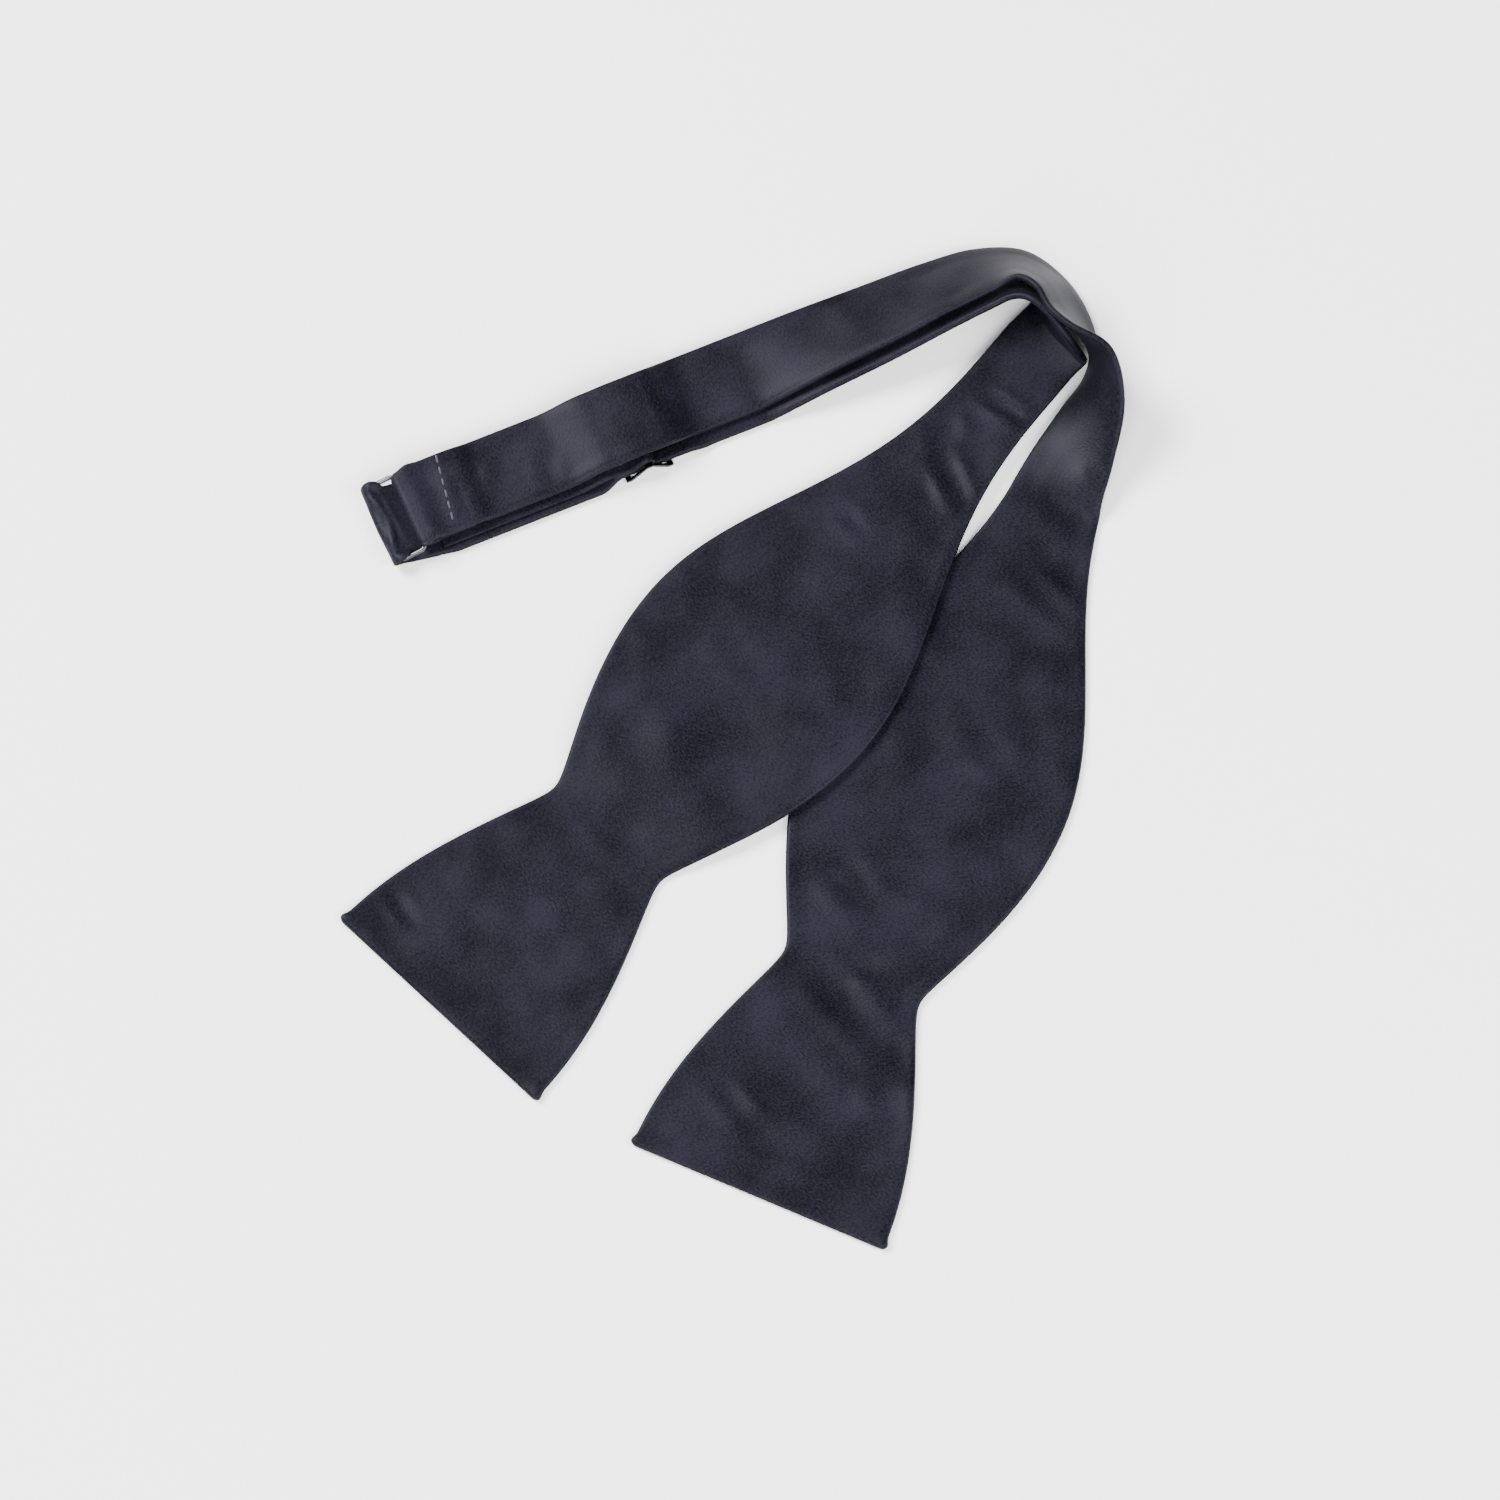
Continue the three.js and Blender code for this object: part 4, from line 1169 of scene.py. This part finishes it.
def stitch_row(name, count, slant, x, side, z, node, body):
    """Separate stitches: each rises from the cloth, lies on it and goes back in."""
    points, faces = [], []
    share = np.linspace(-1, 1, STITCH_SAMPLES)
    heading = math.radians(slant)
    radii = THREAD / 2 * np.sqrt(1 - STITCH_TAPER * share ** 6)
    rise = z + (THREAD / 2) * (1 - STITCH_DIP * np.abs(share) ** 3)
    for i in range(count):
        middle = (i - (count - 1) / 2) * STITCH_PITCH
        along = middle + share * STITCH_LENGTH / 2 * STITCH_SPREAD
        line = [on_band(x + b * math.sin(heading), side + b * math.cos(heading), c)
                for b, c in zip(along, rise)]
        more, more_faces = tube(line, radii, STITCH_SIDES)
        faces += [[len(points) + k for k in face] for face in more_faces]
        points += more
    piece = mesh_object(name, np.array(points), faces, thread)
    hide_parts(node)
    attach(piece, body)


stitch_row("ring_stitches", STITCHES, STITCH_SLANT, RING_STITCHES, RING_STITCH_SIDE,
           TAIL_Z + OVER_LOOP + GROUND, "ring_loop_stitches", "neckband")
stitch_row("hem_stitches", HEM_STITCH_COUNT, 0, SLIDER_FROM_FOLD - HEM_STITCHES, SLIDER_SIDE,
           HEM_Z + 1.5 * STRAP + LAYER_GAP, "strap_hem_stitches", "slider")


# ------------------------------ ring and slider

def ring_piece():
    """Round wire bent to a rounded rectangle, leaning as in the CAD."""
    half_x = RING_PITCH / 2
    half_y = LOOP_WIDTH / 2 + RING_SIDE_GAP + RING_WIRE / 2
    corner = RING_CORNER - RING_WIRE / 2
    outline = []
    for sx, sy, start in ((1, 1, 0), (-1, 1, 90), (-1, -1, 180), (1, -1, 270)):
        cx, cy = sx * (half_x - corner), sy * (half_y - corner)
        for angle in np.radians(np.linspace(start, start + 90, RING_CORNER_STEPS)):
            outline.append((cx + corner * math.cos(angle), cy + corner * math.sin(angle)))
    outline = np.array(outline)
    closed = np.concatenate([outline[-1:], outline, outline[:1]])
    along = unit(closed[2:] - closed[:-2])
    side = np.stack([along[:, 1], -along[:, 0]], axis=1)
    lean = math.atan2(RING_BAR_Z - STRAP_BAR_Z, RING_BAR_X - STRAP_BAR_X)
    radius = RING_WIRE / 2
    points = []
    for (x, y), (nx, ny) in zip(outline, side):
        for angle in np.linspace(0, 2 * math.pi, RING_SIDES, endpoint=False):
            flat = radius * math.cos(angle)
            px, py, pz = x + flat * nx, y + flat * ny, radius * math.sin(angle)
            points.append(on_band(
                (RING_BAR_X + STRAP_BAR_X) / 2 + px * math.cos(lean) - pz * math.sin(lean),
                RING_SIDE + py,
                (RING_BAR_Z + STRAP_BAR_Z) / 2 + px * math.sin(lean) + pz * math.cos(lean)))
    faces = wall(len(outline), RING_SIDES, True)
    ring = mesh_object("ring_wire", np.array(points), faces, chrome)
    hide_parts("adjuster_ring")
    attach(ring, "ring")


def paint_slider():
    """The slider is the CAD's own, so it only gets its material."""
    for material_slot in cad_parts["adjuster_slider"].material_slots:
        material_slot.material = black_metal


ring_piece()
paint_slider()


# ------------------------------ floor, light and camera

def floor_material():
    graph = Graph("floor_paper")
    tooth = graph.noise(graph.object_place(), 900)
    graph.shade(Base_Color=(0.9, 0.9, 0.9, 1), Roughness=graph.remap(tooth, 0.3, 0.7, 0.85, 0.95),
                Specular_IOR_Level=0.2)
    return graph.material


def make_floor():
    mesh = bpy.data.meshes.new("floor")
    half = FLOOR_SIZE / 2
    corners = [(-half, -half, 0), (half, -half, 0), (half, half, 0), (-half, half, 0)]
    mesh.from_pydata(corners, [], [[0, 1, 2, 3]])
    mesh.materials.append(floor_material())
    in_scene("floor", mesh)


def area_light(name, position, size, power):
    light = bpy.data.lights.new(name, "AREA")
    light.shape = "DISK"
    light.size = size
    light.energy = power
    lamp = in_scene(name, light)
    lamp.location = position
    way = -np.array(position)
    pitch = math.atan2(math.hypot(way[0], way[1]), -way[2])
    lamp.rotation_euler = (pitch, 0, math.atan2(-way[0], way[1]))


def make_world():
    world = bpy.data.worlds.new("studio")
    world.use_nodes = True
    background = world.node_tree.nodes["Background"]
    background.inputs["Color"].default_value = (1, 1, 1, 1)
    background.inputs["Strength"].default_value = WORLD_STRENGTH
    bpy.context.scene.world = world


def make_camera():
    camera = bpy.data.cameras.new("camera")
    camera.lens = CAMERA_LENS
    camera.sensor_width = SENSOR_WIDTH
    lens = in_scene("camera", camera)
    elevation = math.radians(CAMERA_ELEVATION)
    lens.location = (CAMERA_AIM[0] * MM, CAMERA_AIM[1] * MM - CAMERA_DISTANCE * math.cos(elevation),
                     CAMERA_DISTANCE * math.sin(elevation))
    lens.rotation_euler = (math.pi / 2 - elevation, 0, 0)
    bpy.context.scene.camera = lens


make_floor()
make_world()
for light_row in LIGHTS:
    area_light(*light_row)
make_camera()
